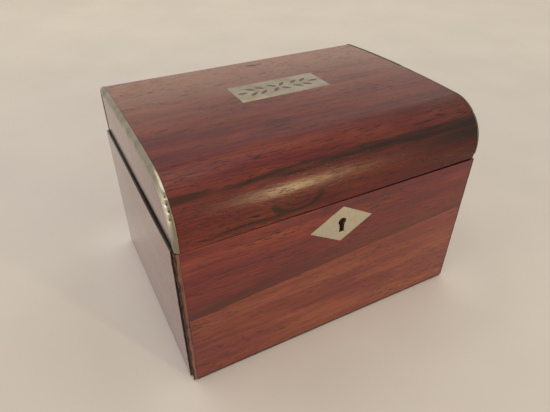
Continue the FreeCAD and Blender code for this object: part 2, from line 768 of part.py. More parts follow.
def inner_lids():
    half_gap = s.inner_lid_gap / 2
    outer = inner_right - s.inner_lid_gap
    width = outer - half_gap
    y = (inner_front + s.inner_lid_gap, inner_back - s.inner_lid_gap)
    points = [(-width / 2, y[0]), (width / 2, y[0]), (width / 2, y[1]), (-width / 2, y[1])]
    board = polygon_pad("XY_Plane", 0, points, s.inner_lid)

    def is_top(found):
        return near(found.ZMin, s.inner_lid)

    dress_edges(board, "PartDesign::Chamfer", "Size", s.inner_lid_chamfer, is_top)
    hole = rod("z", s.knob_spigot_radius + s.spigot_fit, (0, 0, -OVERCUT), s.inner_lid + 2 * OVERCUT)
    drilled = cut(board, hole)
    knob = knob_solid()
    for side, sign in (("left", -1), ("right", 1)):
        middle = sign * (half_gap + width / 2)
        keep(f"{side}_inner_lid", placed(drilled, (middle, 0, ledge)))
        keep(f"{side}_inner_knob", placed(knob, (middle, 0, inner_lid_top)))


def hinges():
    """Butt hinges: the body leaf has the two outer knuckles, the lid leaf the middle one."""
    half = s.hinge_length / 2
    third = s.hinge_length / 6
    half_gap = s.knuckle_gap / 2
    outer_spans = [(-half, -third - half_gap), (third + half_gap, half)]
    middle_span = [(-third + half_gap, third - half_gap)]
    local_y = (leaf_y[0] - hinge_y, ZERO)
    room_y = (-s.knuckle_radius - s.knuckle_room, s.knuckle_radius)
    room_z = centred(4 * s.knuckle_radius)
    hole_length = s.hinge_length + 2 * OVERCUT
    pin_hole = rod("x", s.pin_radius + s.pin_fit, (-half - OVERCUT, 0, 0), hole_length)

    def leaf(z, own_spans, other_spans, screw_z, head):
        plate = box((-half, half), local_y, z)
        clear = [box(grown(span, s.knuckle_gap), room_y, room_z) for span in other_spans]
        knuckles = [rod("x", s.knuckle_radius, (low, 0, 0), high - low) for low, high in own_spans]
        holes = [placed(screw_hole, (x, screw_y - hinge_y, screw_z), head) for x in screw_offsets]
        return cut(fuse(cut(plate, *clear), *knuckles), pin_hole, *holes)

    joint = s.lid_gap / 2
    body_leaf = leaf((-joint - s.hinge_leaf, -joint), outer_spans, middle_span, -joint, HEAD_UP)
    lid_leaf = leaf((joint, joint + s.hinge_leaf), middle_span, outer_spans, joint, HEAD_DOWN)
    pin = rod("x", s.pin_radius, (-half, 0, 0), s.hinge_length)
    for side, middle in hinge_middles.items():
        at = (middle, hinge_y, hinge_z)
        keep(f"{side}_hinge_body_leaf", placed(body_leaf, at))
        keep(f"{side}_hinge_lid_leaf", placed(lid_leaf, at))
        keep(f"{side}_hinge_pin", placed(pin, at))


def lock():
    plate = box(lock_x, (lock_front, inner_front), plate_z)
    selvedge = box(lock_x, selvedge_y, (case_top, rim))
    slot_y = grown(staple_y, s.staple_room)
    slot_z = grown((case_top, rim), OVERCUT)
    slot_width = s.staple_thickness + 2 * s.staple_room
    slots = [box(about(middle, slot_width), slot_y, slot_z) for middle in staple_middles]
    keep("lock_plate", cut(fuse(plate, selvedge), *slots, *screw_holes["lock_screws"]))

    case = box(case_x, (case_front, lock_front), case_z)
    hollow_y = (case_front + s.case_wall, lock_front + OVERCUT)
    hollow_z = (case_z[0] + s.case_wall, case_top + OVERCUT)
    hollow = box(grown(case_x, -s.case_wall), hollow_y, hollow_z)
    case_keyhole = keyhole(s.keyhole_room, grown((case_front, case_front + s.case_wall), OVERCUT))
    keep("lock_case", cut(case, hollow, case_keyhole))

    pin_start = lock_front - s.drill_pin_length
    keep("lock_drill_pin", rod("y", s.drill_pin_radius, (0, pin_start, key_level), s.drill_pin_length))


def link():
    """Plate in the lid's front rim with two staples that drop through the selvedge."""
    plate = box(link_x, link_y, link_z)
    staple_z = (staple_end, link_z[1])
    staples = [box(about(middle, s.staple_thickness), staple_y, staple_z) for middle in staple_middles]
    eye_y = grown(about(lock_middle, s.finger_depth), s.finger_room)
    eye_z = grown((finger_bottom, finger_bottom + s.finger_height), s.finger_room)
    eye = box(link_x, eye_y, eye_z)
    keep("link_plate", cut(fuse(plate, *staples), eye, *screw_holes["link_plate_screws"]))


def bolt():
    """Sliding bar with two fingers that pass through the staples' eyes, and its bent leaf spring."""
    bar_z = (bar_top - s.bolt_height, bar_top)
    bar_y = about(lock_middle, s.bolt_depth)
    finger_y = about(lock_middle, s.finger_depth)
    finger_z = (finger_bottom, finger_bottom + s.finger_height)
    tips = [middle - s.staple_thickness / 2 - s.finger_start for middle in staple_middles]
    post_faces = [tip - s.bolt_travel for tip in tips]
    solids = []
    for tip, face in zip(tips, post_faces):
        solids.append(box((face - s.bolt_post, face), finger_y, (bar_z[0], finger_z[1])))
        solids.append(box((face - s.bolt_post, tip), finger_y, finger_z))
    bar = box((post_faces[0] - s.bolt_post, post_faces[1] + s.bolt_tail), bar_y, bar_z)
    talon_x = about(-s.bolt_travel / 2, s.talon_width)
    talon_z = (bar_z[0] - OVERCUT, bar_z[0] + s.talon_depth)
    talon = box(talon_x, grown(bar_y, OVERCUT), talon_z)
    keep("lock_bolt", cut(fuse(bar, *solids), talon))

    start_x = post_faces[0] - s.bolt_post / 2
    ring_start = (start_x, bar_y[0], bar_z[0] - s.spring_radius)
    outer = rod("y", s.spring_radius, ring_start, s.bolt_depth)
    inner = rod("y", s.spring_radius - s.spring_leaf, ring_start, s.bolt_depth)
    quarter = box((start_x, start_x + s.spring_radius), bar_y, (bar_z[0] - s.spring_radius, bar_z[0]))
    keep("lock_bolt_spring", common(cut(outer, inner), quarter))


def lid_frame():
    everywhere = (lid_bottom - OVERCUT, lid_bottom + s.body_depth)
    ends = {
        "lid_left_end": (lid_left + s.veneer, inner_left),
        "lid_right_end": (inner_right, lid_right - s.veneer),
    }
    for label, x in ends.items():
        keep(label, cut(lid_outer(s.veneer, x, lid_board_bottom), lid_bevel))
    x = (inner_left, inner_right)
    shell = cut(lid_outer(s.veneer, x, lid_board_bottom), lid_hollow(s.veneer + s.lid_board, x))
    front = common(shell, box(x, (front_face, rounding_end), everywhere))
    keep("lid_front_rail", cut(front, link_space, *screw_holes["link_plate_screws"]))
    keep("lid_top_board", common(shell, box(x, (rounding_end, lid_inner_back), everywhere)))
    rear = common(shell, box(x, (lid_inner_back, back_face), everywhere))
    recesses = lid_leaf_recesses + knuckle_recesses
    keep("lid_rear_rail", cut(rear, lid_bevel, *recesses, *screw_holes["lid_hinge_screws"]))
    paper_x = grown(x, -s.lid_paper_margin)
    paper_y = (rounding_end + s.lid_paper_margin, lid_inner_back - s.lid_paper_margin)
    paper_shell = cut(
        lid_hollow(s.veneer + s.lid_board, paper_x),
        lid_hollow(s.veneer + s.lid_board + s.lid_paper, paper_x),
    )
    keep("lid_paper_lining", common(paper_shell, box(paper_x, paper_y, everywhere)))


def lid_skin():
    """Veneers of the lid, the inlaid plate and its filled engraving."""
    everywhere = (lid_bottom - OVERCUT, lid_bottom + s.body_depth)
    x = (lid_left + s.edging_top, lid_right - s.edging_top)
    skin = cut(lid_outer(0, x), lid_outer(s.veneer, x))
    plate_x = about(lid_middle + s.plate_shift, s.plate_width)
    plate_y = about(front_face + s.plate_behind_front, s.plate_depth)
    opening = box(grown(plate_x, s.inlay_fit), grown(plate_y, s.inlay_fit), everywhere)
    top = common(skin, box(x, (front_face, rear_rounding), everywhere))
    keep("lid_top_veneer", cut(top, opening))
    keep("lid_rear_veneer", cut(common(skin, box(x, (rear_rounding, back_face), everywhere)), lid_bevel))
    plate_space = box(plate_x, plate_y, (lid_shoulder, lid_bottom + s.body_depth))
    blank = common(skin, plate_space)
    filled = cut(lid_outer(0, x), lid_outer(s.engraving_depth, x))
    infill = common(common(filled, plate_space), ornament(plate_x, plate_y))
    keep("lid_plate_infill", infill)
    keep("lid_plate", cut(blank, infill))

    end_spans = {
        "lid_left_end_veneer": (lid_left, lid_left + s.veneer),
        "lid_right_end_veneer": (lid_right - s.veneer, lid_right),
    }
    for label, span in end_spans.items():
        keep(label, cut(lid_outer(s.edging_side, span), lid_bevel))


def ornament(plate_x, plate_y):
    """Engraved leaves: a rosette of four between two sprigs, as upright columns to cut from the plate."""
    half_length = s.leaf_length / 2
    half_width = s.leaf_width / 2
    bend = (half_length * half_length + half_width * half_width) / s.leaf_width
    height = 2 * s.lid_front_radius
    sides = [rod("z", bend, (0, sign * (bend - half_width), 0), height) for sign in (-1, 1)]
    leaf = common(*sides)
    middle_x = (plate_x[0] + plate_x[1]) / 2
    middle_y = (plate_y[0] + plate_y[1]) / 2

    def grow(x, y, angle):
        return placed(leaf, (middle_x + x, middle_y + y, lid_shoulder), angle, "z")

    leaves = []
    for angle in (45, 135, 225, 315):
        x = s.rosette_reach * math.cos(math.radians(angle))
        y = s.rosette_reach * math.sin(math.radians(angle))
        leaves.append(grow(x, y, angle))
    for side in (-1, 1):
        for step in (0, 1):
            x = side * (s.sprig_start + step * s.sprig_pitch)
            leaves.append(grow(x, s.sprig_rise, side * s.sprig_angle))
            leaves.append(grow(x, -s.sprig_rise, -side * s.sprig_angle))
        leaves.append(grow(side * (s.sprig_start + 2 * s.sprig_pitch), ZERO, 0))
    return group(*leaves)


def lid_edgings():
    """Metal angles round both end outlines of the lid, rounded on the outer corner."""
    reach = s.edging_proud + OVERCUT
    left_outer = lid_left - s.edging_proud
    right_outer = lid_right + s.edging_proud
    left = (left_outer, lid_left + s.edging_top)
    right = (lid_right - s.edging_top, right_outer)
    left_under = (lid_left + s.veneer, left[1] + OVERCUT)
    right_under = (right[0] - OVERCUT, lid_right - s.veneer)
    lost_y = (front_face - reach, rounding_end)
    lost_foot = box(grown(right, OVERCUT), lost_y, (lid_bottom - OVERCUT, lid_bottom + s.edging_lost))
    left_side = (lid_left - reach, left_under[0])
    right_side = (right_under[1], lid_right + reach)
    plans = {
        "lid_left_edging": (left, left_outer, left_under, left_side, []),
        "lid_right_edging": (right, right_outer, right_under, right_side, [lost_foot]),
    }
    for label, (span, outer, under_top, under_side, losses) in plans.items():
        blank = lid_outer(-s.edging_proud, span)

        def is_corner(found, x=outer):
            return near(found.XMin, x) and near(found.XMax, x) and not near(found.ZMax, lid_bottom)

        dress_edges(blank, "PartDesign::Fillet", "Radius", s.edging_round, is_corner)
        tools = [lid_outer(s.veneer, under_top), lid_outer(s.edging_side, under_side), lid_bevel]
        keep(label, cut(blank, *tools, *losses))


carcass()
baize()
body_veneers()
corner_strings()
escutcheon()
rim_facings()
interior()
inner_lids()
hinges()
lock()
link()
bolt()
lid_frame()
lid_skin()
lid_edgings()
doc.recompute()

faults = [item.Label for item in doc.Objects if "Invalid" in item.State or "Error" in item.State]
for piece in pieces:
    if piece.Shape.isNull() or not piece.Shape.isValid() or not piece.Shape.Solids:
        faults.append(piece.Label)
if faults:
    raise RuntimeError(f"not built: {sorted(set(faults))}")

os.makedirs("parts", exist_ok=True)
for piece in pieces:
    piece.Shape.exportStep(f"parts/{piece.Label}.step")
    print(piece.Label, len(piece.Shape.Solids), round(piece.Shape.Volume, 2))
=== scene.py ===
import json
import math

import bmesh
import bpy
import numpy as np
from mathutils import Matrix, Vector, noise


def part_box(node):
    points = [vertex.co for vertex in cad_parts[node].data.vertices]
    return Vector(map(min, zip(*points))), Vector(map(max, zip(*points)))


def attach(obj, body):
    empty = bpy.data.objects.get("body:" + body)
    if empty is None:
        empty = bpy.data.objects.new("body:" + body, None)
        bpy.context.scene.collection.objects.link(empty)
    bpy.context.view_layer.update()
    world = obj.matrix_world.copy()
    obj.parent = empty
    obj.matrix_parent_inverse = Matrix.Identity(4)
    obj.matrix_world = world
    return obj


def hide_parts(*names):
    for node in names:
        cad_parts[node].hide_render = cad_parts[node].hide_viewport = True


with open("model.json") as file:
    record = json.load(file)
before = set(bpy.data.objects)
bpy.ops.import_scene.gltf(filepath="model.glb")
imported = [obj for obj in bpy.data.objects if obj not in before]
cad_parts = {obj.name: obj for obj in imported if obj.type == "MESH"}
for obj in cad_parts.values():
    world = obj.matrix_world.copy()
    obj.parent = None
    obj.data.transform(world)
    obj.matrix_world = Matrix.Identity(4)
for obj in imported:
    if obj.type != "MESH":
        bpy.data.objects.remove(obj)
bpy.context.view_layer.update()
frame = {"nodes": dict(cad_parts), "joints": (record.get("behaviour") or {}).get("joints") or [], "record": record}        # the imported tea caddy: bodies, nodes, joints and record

MM = 0.001


def low(node):
    """The low corner of a CAD node's box."""
    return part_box(node)[0]


def high(node):
    """The high corner of a CAD node's box."""
    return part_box(node)[1]


# Faces and levels of the body and the lid, read from the frame.
LEFT = low("left_end_veneer").x
RIGHT = high("right_end_veneer").x
FRONT = low("front_veneer_lower").y
BACK = high("rear_veneer").y
FOOT = low("front_veneer_lower").z
RIM = high("body_rim_facing").z
VENEER = high("left_end_veneer").x - LEFT
LID_LEFT = low("lid_left_end_veneer").x
LID_RIGHT = high("lid_right_end_veneer").x
LID_BOTTOM = low("lid_rim_facing").z
LID_TOP = high("lid_top_veneer").z
REAR_SEAM = high("lid_top_veneer").y
SEAM_LEFT = low("front_veneer_upper").z
SEAM_RIGHT = high("front_veneer_lower").z

# The lid's outline and its metal edging.
FRONT_ROUNDING = high("lid_front_rail").y - FRONT
REAR_ROUNDING = BACK - REAR_SEAM
CROWN_RADIUS = 1100 * MM
CROWN_LINE = FRONT + 62 * MM
EDGING_PROUD = LID_LEFT - low("lid_left_edging").x
EDGING_SIDE = low("lid_left_end_veneer").y - FRONT
EDGING_TOP = 2.3 * MM
EDGING_ROUND = 2.3 * MM
EDGING_LOST = 3.8 * MM
SKIN_LEFT = LID_LEFT + EDGING_TOP
SKIN_RIGHT = LID_RIGHT - EDGING_TOP

# Hinge axis, and the slope of the bevels that meet when the lid is open.
HINGE_Y, HINGE_Z = next(joint for joint in frame["joints"] if joint["name"] == "lid_hinge")["pos_m"][1:]
BEVEL_SLOPE = (HINGE_Z - high("rear_veneer").z) / (low("rear_veneer").y - HINGE_Y)

# Mesh fineness and softened edges.
SHEET_STEP = 1.0 * MM
CURVE_STEP = 0.6 * MM
SHARP_ANGLE = math.radians(35)
WOOD_EDGE = 0.18 * MM
METAL_EDGE = 0.12 * MM
FINE_EDGE = 0.1 * MM
PLATE_EDGE = 0.05 * MM
EDGE_SEGMENTS = 2
WELD_REACH = 0.001 * MM


# Mesh helpers

def stations(keys, step):
    """Places along a line that hit every key and lie about a step apart between them."""
    runs = [np.linspace(a, b, max(2, round(abs(b - a) / step) + 1))[:-1] for a, b in zip(keys, keys[1:])]
    return np.concatenate([*runs, [keys[-1]]])


def spots(x, y, z=0.0):
    """Points from coordinates that may be grids, rows or single values."""
    return np.stack(np.broadcast_arrays(x, y, z), axis=-1)


def doubled(outer, inner):
    """Points of an outer grid, and then those of an inner one."""
    return np.concatenate([outer.reshape(-1, 3), inner.reshape(-1, 3)])


def ripple(points, wavelength, height, seed=0.0):
    """Smooth random heights at points, up to about plus or minus a height."""
    places = np.asarray(points, float).reshape(-1, 3) / np.asarray(wavelength, float) + seed
    values = [noise.noise(Vector(place)) for place in places]
    return height * np.array(values).reshape(np.shape(points)[:-1])


def bump_at(distance, reach):
    """One at a distance of zero, falling smoothly to zero at the reach."""
    share = np.clip(1 - np.abs(distance) / reach, 0, 1)
    return share * share * (3 - 2 * share)


def shell_faces(rows, columns, kept=None):
    """Faces of a closed shell between an outer and an inner grid, over all or the kept cells."""
    if kept is None:
        kept = np.ones((rows - 1, columns - 1), bool)
    grid = np.arange(rows * columns).reshape(rows, columns)
    inner = rows * columns
    there = np.pad(kept, 1)
    faces = []
    for row, column in zip(*np.nonzero(kept)):
        ring = [grid[row, column], grid[row, column + 1], grid[row + 1, column + 1], grid[row + 1, column]]
        faces.append(ring)
        faces.append([inner + corner for corner in reversed(ring)])
        sides = ((row, column + 1), (row + 1, column + 2), (row + 2, column + 1), (row + 1, column))
        for number, side in enumerate(sides):
            if not there[side]:
                start, end = ring[number], ring[(number + 1) % 4]
                faces.append([end, start, inner + start, inner + end])
    return faces


def loft_faces(rings, count):
    """Faces between closed rings of points, with a face over each end."""
    faces = []
    for ring in range(rings - 1):
        for step in range(count):
            after = (step + 1) % count
            near, far = ring * count, (ring + 1) * count
            faces.append([near + step, near + after, far + after, far + step])
    faces.append(list(range(count))[::-1])
    faces.append(list(range((rings - 1) * count, rings * count)))
    return faces


def add_piece(name, points, faces, material, body, replaced=(), attributes=None):
    """A mesh piece that rides on a body and stands for CAD nodes."""
    mesh = bpy.data.meshes.new(name)
    mesh.from_pydata(np.asarray(points, float).reshape(-1, 3).tolist(), [], faces)
    for label, values in (attributes or {}).items():
        values = np.asarray(values, np.float32)
        vector = values.shape[-1:] == (3,)
        made = mesh.attributes.new(label, "FLOAT_VECTOR" if vector else "FLOAT", "POINT")
        made.data.foreach_set("vector" if vector else "value", values.ravel())
    editable = bmesh.new()
    editable.from_mesh(mesh)
    bmesh.ops.delete(editable, geom=[v for v in editable.verts if not v.link_faces], context="VERTS")
    bmesh.ops.recalc_face_normals(editable, faces=editable.faces)
    editable.to_mesh(mesh)
    editable.free()
    mesh.shade_smooth()
    mesh.set_sharp_from_angle(angle=SHARP_ANGLE)
    piece = bpy.data.objects.new(name, mesh)
    bpy.context.scene.collection.objects.link(piece)
    mesh.materials.append(material)
    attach(piece, body)
    if replaced:
        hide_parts(*replaced)
    return piece


def soften(piece, width):
    """Break the sharp edges of a piece by a small bevel."""
    bevel = piece.modifiers.new("soft_edges", "BEVEL")
    bevel.width = width
    bevel.segments = EDGE_SEGMENTS
    bevel.limit_method = "ANGLE"
    bevel.angle_limit = SHARP_ANGLE
    bevel.harden_normals = True


def dress(node, material, edge):
    """Give a CAD node its finish, and soften its edges if they show."""
    piece = frame["nodes"][node]
    piece.material_slots[0].material = material
    if edge:
        weld = piece.modifiers.new("weld", "WELD")
        weld.merge_threshold = WELD_REACH
        soften(piece, edge)


# Materials

NOISE_RANGE = (0.3, 0.7)


class Graph:
    """The shader nodes of one material, added by short calls that give back sockets."""

    def __init__(self, name, **shader):
        self.material = bpy.data.materials.new(name)
        self.material.use_nodes = True
        self.tree = self.material.node_tree
        self.shader = self.tree.nodes["Principled BSDF"]
        for socket, value in shader.items():
            self.shader.inputs[socket.replace("_", " ")].default_value = value

    def feed(self, socket, value):
        """Link or set a socket."""
        if isinstance(value, bpy.types.NodeSocket):
            self.tree.links.new(value, socket)
        else:
            socket.default_value = value

    def add(self, kind, inputs, output=0, **settings):
        """A new node, given back as one of its outputs."""
        node = self.tree.nodes.new(kind)
        for name, value in settings.items():
            setattr(node, name, value)
        for name, value in inputs.items():
            self.feed(node.inputs[name], value)
        return node.outputs[output]

    def place(self):
        """Object coordinates, which are metres in the caddy's frame at rest."""
        return self.add("ShaderNodeTexCoord", {}, "Object")

    def attribute(self, name, output="Fac"):
        return self.add("ShaderNodeAttribute", {}, output, attribute_name=name)

    def vector(self, operation, first, second=(0, 0, 0), output=0):
        return self.add("ShaderNodeVectorMath", {0: first, 1: second}, output, operation=operation)

    def scaled(self, vector, scale):
        return self.vector("MULTIPLY", vector, scale)

    def shifted(self, vector, shift):
        return self.vector("ADD", vector, shift)

    def split(self, vector):
        return self.add("ShaderNodeSeparateXYZ", {0: vector}).node.outputs

    def joined(self, x, y, z):
        return self.add("ShaderNodeCombineXYZ", {0: x, 1: y, 2: z})

    def noise(self, vector, scale, detail=2.0, roughness=0.5, output=0):
        """Noise that varies so many times per metre each way."""
        place = self.scaled(vector, scale)
        inputs = {"Vector": place, "Scale": 1.0, "Detail": detail, "Roughness": roughness}
        return self.add("ShaderNodeTexNoise", inputs, output)

    def math(self, operation, first, second):
        return self.add("ShaderNodeMath", {0: first, 1: second}, operation=operation)

    def times(self, first, second):
        return self.math("MULTIPLY", first, second)

    def span(self, value, start, end, low_value=0.0, high_value=1.0):
        """A value between start and end, carried smoothly to another range."""
        inputs = {0: value, 1: start, 2: end, 3: low_value, 4: high_value}
        return self.add("ShaderNodeMapRange", inputs, interpolation_type="SMOOTHSTEP")

    def spread(self, noise_value, low_value, high_value):
        """A noise's usual range, carried smoothly to another range."""
        return self.span(noise_value, *NOISE_RANGE, low_value, high_value)

    def weighed(self, first, second, share):
        """A share of the first value with the rest of the second."""
        rest = self.times(second, 1 - share)
        return self.math("ADD", self.times(first, share), rest)

    def mix(self, factor, first, second, blend="MIX"):
        inputs = {0: factor, 6: first, 7: second}
        return self.add("ShaderNodeMix", inputs, 2, data_type="RGBA", blend_type=blend)

    def shaded(self, colour, shade):
        """A colour times a grey shade."""
        return self.mix(1.0, colour, self.joined(shade, shade, shade), "MULTIPLY")

    def ramp(self, factor, stops):
        """Colours at stops along a factor."""
        made = self.add("ShaderNodeValToRGB", {0: factor})
        elements = made.node.color_ramp.elements
        while len(elements) < len(stops):
            elements.new(1.0)
        for element, (position, colour) in zip(elements, stops):
            element.position = position
            element.color = (*colour, 1.0)
        return made

    def bump(self, height, distance, strength=1.0):
        inputs = {"Height": height, "Distance": distance, "Strength": strength}
        self.feed(self.shader.inputs["Normal"], self.add("ShaderNodeBump", inputs))

    def colour(self, value):
        self.feed(self.shader.inputs["Base Color"], value)

    def rough(self, value):
        self.feed(self.shader.inputs["Roughness"], value)


# Polished wood. A scale is how often a pattern varies per metre along and across the grain.
PORE_COLOUR = (0.022, 0.009, 0.010, 1.0)
FADED_COLOUR = (0.30, 0.165, 0.108, 1.0)
STREAK_COLOUR = (0.024, 0.013, 0.010, 1.0)
PURPLE_TINT = (0.80, 0.66, 0.95, 1.0)
GRAIN_DEPTH = 0.12 * MM
SWAY_SCALE = (7, 22, 22)
SWAY_REACH = (0, 7 * MM, 7 * MM)
FIGURE_SCALE = (3, 42, 42)
GROWTH_SCALE = (5, 260, 260)
FIBRE_SCALE = (50, 2600, 2600)
TINT_SCALE = (14, 90, 90)
FINE_PORE_SCALE = (190, 1600, 1600)
COARSE_PORE_SCALE = (115, 950, 950)
PORE_CROWD_SCALE = (16, 70, 70)
LUMP_SCALE = (170, 420, 420)
FIGURE_SHARE = 0.62
STREAK_SHARE = 0.9
PORE_SHARE = 0.92
TONE_STOPS = (0.34, 0.45, 0.54, 0.66)


def grain_place(graph, along):
    """Wood coordinates in metres: along the grain first, then across it."""
    if along == "sheet":
        return graph.attribute("grain", "Vector")
    place = graph.place()
    if along == "x":
        return place
    x, y, z = graph.split(place)
    return graph.joined(y, x, z) if along == "y" else graph.joined(z, x, y)


def open_pores(graph, place, crowded):
    """Dark pores, short along the grain, that gather in crowds."""
    fine = graph.span(graph.noise(place, FINE_PORE_SCALE, 1.5), 0.585, 0.66, 0.0, 0.7)
    coarse = graph.span(graph.noise(place, COARSE_PORE_SCALE, 1.0), 0.64, 0.69)
    crowd = graph.span(graph.noise(place, PORE_CROWD_SCALE, 2), 0.36, 0.62, 0.35, crowded)
    return graph.times(graph.math("MAXIMUM", fine, coarse), crowd)


def rosewood(
    name, along, tones, coat, coat_roughness, streak=None, faded=None, crowd=1.0,
    polish=0.32, gloss=(0.34, 0.50), relief=0.3, uneven=0.0,
):
    """French-polished rosewood: wandering figure, growth lines, fibre and dark open pores."""
    graph = Graph(name, Coat_Weight=coat, Coat_Roughness=coat_roughness, Specular_IOR_Level=polish)
    straight = grain_place(graph, along)
    sway = graph.shifted(graph.noise(straight, SWAY_SCALE, 2, output=1), (-0.5, -0.5, -0.5))
    place = graph.shifted(straight, graph.scaled(sway, SWAY_REACH))
    figure = graph.noise(place, FIGURE_SCALE, 4)
    growth = graph.noise(place, GROWTH_SCALE, 3)
    fibre = graph.noise(place, FIBRE_SCALE, 2)
    tone = graph.weighed(figure, growth, FIGURE_SHARE)
    colour = graph.ramp(tone, list(zip(TONE_STOPS, tones)))
    tint = graph.span(graph.noise(place, TINT_SCALE, 3), 0.38, 0.62)
    colour = graph.mix(tint, graph.mix(1.0, colour, PURPLE_TINT, "MULTIPLY"), colour)
    colour = graph.shaded(colour, graph.spread(fibre, 0.72, 1.22))
    if faded:
        colour = graph.mix(faded(graph, straight), colour, FADED_COLOUR)
    if streak:
        broken = graph.times(graph.math("SUBTRACT", growth, 0.5), 0.9)
        dark = graph.math("ADD", streak(graph), broken)
        colour = graph.mix(graph.span(dark, 0.15, 1.0, 0.0, STREAK_SHARE), colour, STREAK_COLOUR)
    pores = open_pores(graph, place, crowd)
    graph.colour(graph.mix(graph.times(pores, PORE_SHARE), colour, PORE_COLOUR))
    graph.rough(graph.spread(figure, *gloss))
    height = graph.math("SUBTRACT", graph.times(fibre, relief), pores)
    if uneven:
        lumps = graph.times(graph.noise(place, LUMP_SCALE, 2), uneven)
        height = graph.math("ADD", height, lumps)
    graph.bump(height, GRAIN_DEPTH, 0.5)
    return graph


# Tones of each veneer, from its darkest figure to its lightest.
LID_TONES = [(0.096, 0.023, 0.018), (0.121, 0.026, 0.019), (0.147, 0.033, 0.022), (0.182, 0.049, 0.028)]
UPPER_TONES = [(0.098, 0.015, 0.016), (0.124, 0.018, 0.018), (0.156, 0.025, 0.020), (0.205, 0.042, 0.026)]
LOWER_TONES = [(0.131, 0.026, 0.019), (0.157, 0.034, 0.022), (0.184, 0.045, 0.028), (0.222, 0.065, 0.039)]
STRING_TONES = [(0.070, 0.020, 0.015), (0.105, 0.032, 0.023), (0.140, 0.050, 0.036), (0.260, 0.130, 0.098)]
DARK_TONES = [(0.048, 0.014, 0.011), (0.066, 0.018, 0.013), (0.086, 0.024, 0.016), (0.115, 0.036, 0.020)]
REAR_TONES = [(0.130, 0.040, 0.027), (0.185, 0.068, 0.044), (0.230, 0.096, 0.060), (0.275, 0.130, 0.084)]
END_TONES = [(0.092, 0.024, 0.018), (0.158, 0.039, 0.029), (0.214, 0.056, 0.038), (0.280, 0.086, 0.050)]

# Scraper marks on the lid: their middle, half length and half width, pitch and lean.
CHATTER = {"x": -21 * MM, "y": -36 * MM, "length": 9 * MM, "width": 5.5 * MM}
CHATTER_PITCH = 1.55 * MM
CHATTER_LEAN = -0.18

# Bleaching of the lid, darkening along the front's foot, and the dark heart and line above the front's seam:
# places where each starts and ends.
FADE_SPAN = (95 * MM, 195 * MM)
FADE_PATCHES = 60 * MM
SEAM_LINE = (0.2 * MM, 0.9 * MM)
SEAM_SHADE = (0.0, 30 * MM)
FOOT_DARKENING = (FOOT + 0.4 * MM, FOOT + 2.6 * MM)


def dark_figure_and_shade(graph):
    """Dark streaks of the lid's veneer, with painted shade along its joints and on its right front, as drawn
    over its sheet.
    """
    return graph.attribute("figure")


def grime(graph):
    """Dirt along worn and open edges, and painted shade on the corner strings' groove side."""
    return graph.attribute("grime")


def rear_fade(graph, place):
    """Bleaching of the lid's veneer, growing towards the rear."""
    _, along, _ = graph.split(place)
    patchy = graph.times(graph.noise(place, (12, 30, 30), 3), FADE_PATCHES)
    return graph.span(graph.math("ADD", along, patchy), *FADE_SPAN, 0.0, 0.62)


def lid_wood():
    """Wood of the lid's sheets, with dark figure, a faded rear, the chip and the scraper marks, and painted
    shade along its joints with the strips and on its right front.
    """
    graph = rosewood(
        "rosewood_lid", "sheet", LID_TONES, 0.0, 0.0, streak=dark_figure_and_shade, faded=rear_fade,
        polish=0.20, gloss=(0.22, 0.28), relief=0.6, uneven=0.9,
    )
    damage = graph.span(graph.attribute("damage"), 0.25, 0.7)
    x, along, _ = graph.split(graph.attribute("grain", "Vector"))
    leaning = graph.math("ADD", x, graph.times(along, CHATTER_LEAN))
    ticks = graph.math("SINE", graph.times(leaning, 2 * math.pi / CHATTER_PITCH), 0.0)
    ticks = graph.times(graph.span(ticks, 0.0, 0.7, 0.0, 0.95), graph.attribute("chatter"))
    base = graph.shader.inputs["Base Color"].links[0].from_socket
    # Painted shade on the right of the lid's front.
    base = graph.shaded(base, graph.attribute("heart"))
    graph.colour(graph.mix(graph.math("MAXIMUM", damage, ticks), base, STREAK_COLOUR))
    return graph.material


def seam_shade(graph):
    """Dark heart of the upper front veneer above its slanting joint, and the joint's own line."""
    x, _, z = graph.split(graph.place())
    slope = (SEAM_RIGHT - SEAM_LEFT) / (high("front_veneer_upper").x - low("front_veneer_upper").x)
    seam = graph.math("ADD", graph.times(x, slope), (SEAM_LEFT + SEAM_RIGHT) / 2)
    above = graph.math("SUBTRACT", z, seam)
    line = graph.span(above, *SEAM_LINE, 1.0, 0.0)
    return graph.math("MAXIMUM", line, graph.span(above, *SEAM_SHADE, 0.62, 0.0))


def foot_shade(graph):
    """Darkening along the foot of the lower front veneer."""
    _, _, z = graph.split(graph.place())
    return graph.span(z, *FOOT_DARKENING, 0.85, 0.0)


def carcass_wood():
    """Plain planed mahogany of the boards."""
    graph = Graph("carcass_mahogany", Specular_IOR_Level=0.2)
    place = graph.place()
    growth = graph.noise(place, (9, 9, 210), 3)
    fibre = graph.noise(place, (300, 300, 2400), 2)
    tone = graph.weighed(growth, fibre, 0.6)
    stops = [(0.35, (0.090, 0.036, 0.018)), (0.5, (0.160, 0.068, 0.032)), (0.65, (0.220, 0.105, 0.052))]
    graph.colour(graph.ramp(tone, stops))
    graph.rough(graph.spread(fibre, 0.5, 0.7))
    graph.bump(fibre, 0.08 * MM, 0.6)
    return graph.material


def ebonised_wood():
    """Wood stained black, worn brown in places."""
    graph = Graph("ebonised_wood", Specular_IOR_Level=0.12)
    place = graph.place()
    worn = graph.noise(place, (60, 60, 60), 4)
    fibre = graph.noise(place, (200, 900, 900), 2)
    stops = [(0.4, (0.014, 0.010, 0.009)), (0.58, (0.026, 0.017, 0.014)), (0.72, (0.055, 0.030, 0.021))]
    graph.colour(graph.ramp(worn, stops))
    graph.rough(graph.spread(fibre, 0.35, 0.6))
    graph.bump(fibre, 0.06 * MM, 0.5)
    return graph.material


# Colour of the rubbed patch: partly real rubbing, partly a painted highlight.
RUBBED_HIGHLIGHT_COLOUR = (0.86, 0.80, 0.66, 1.0)
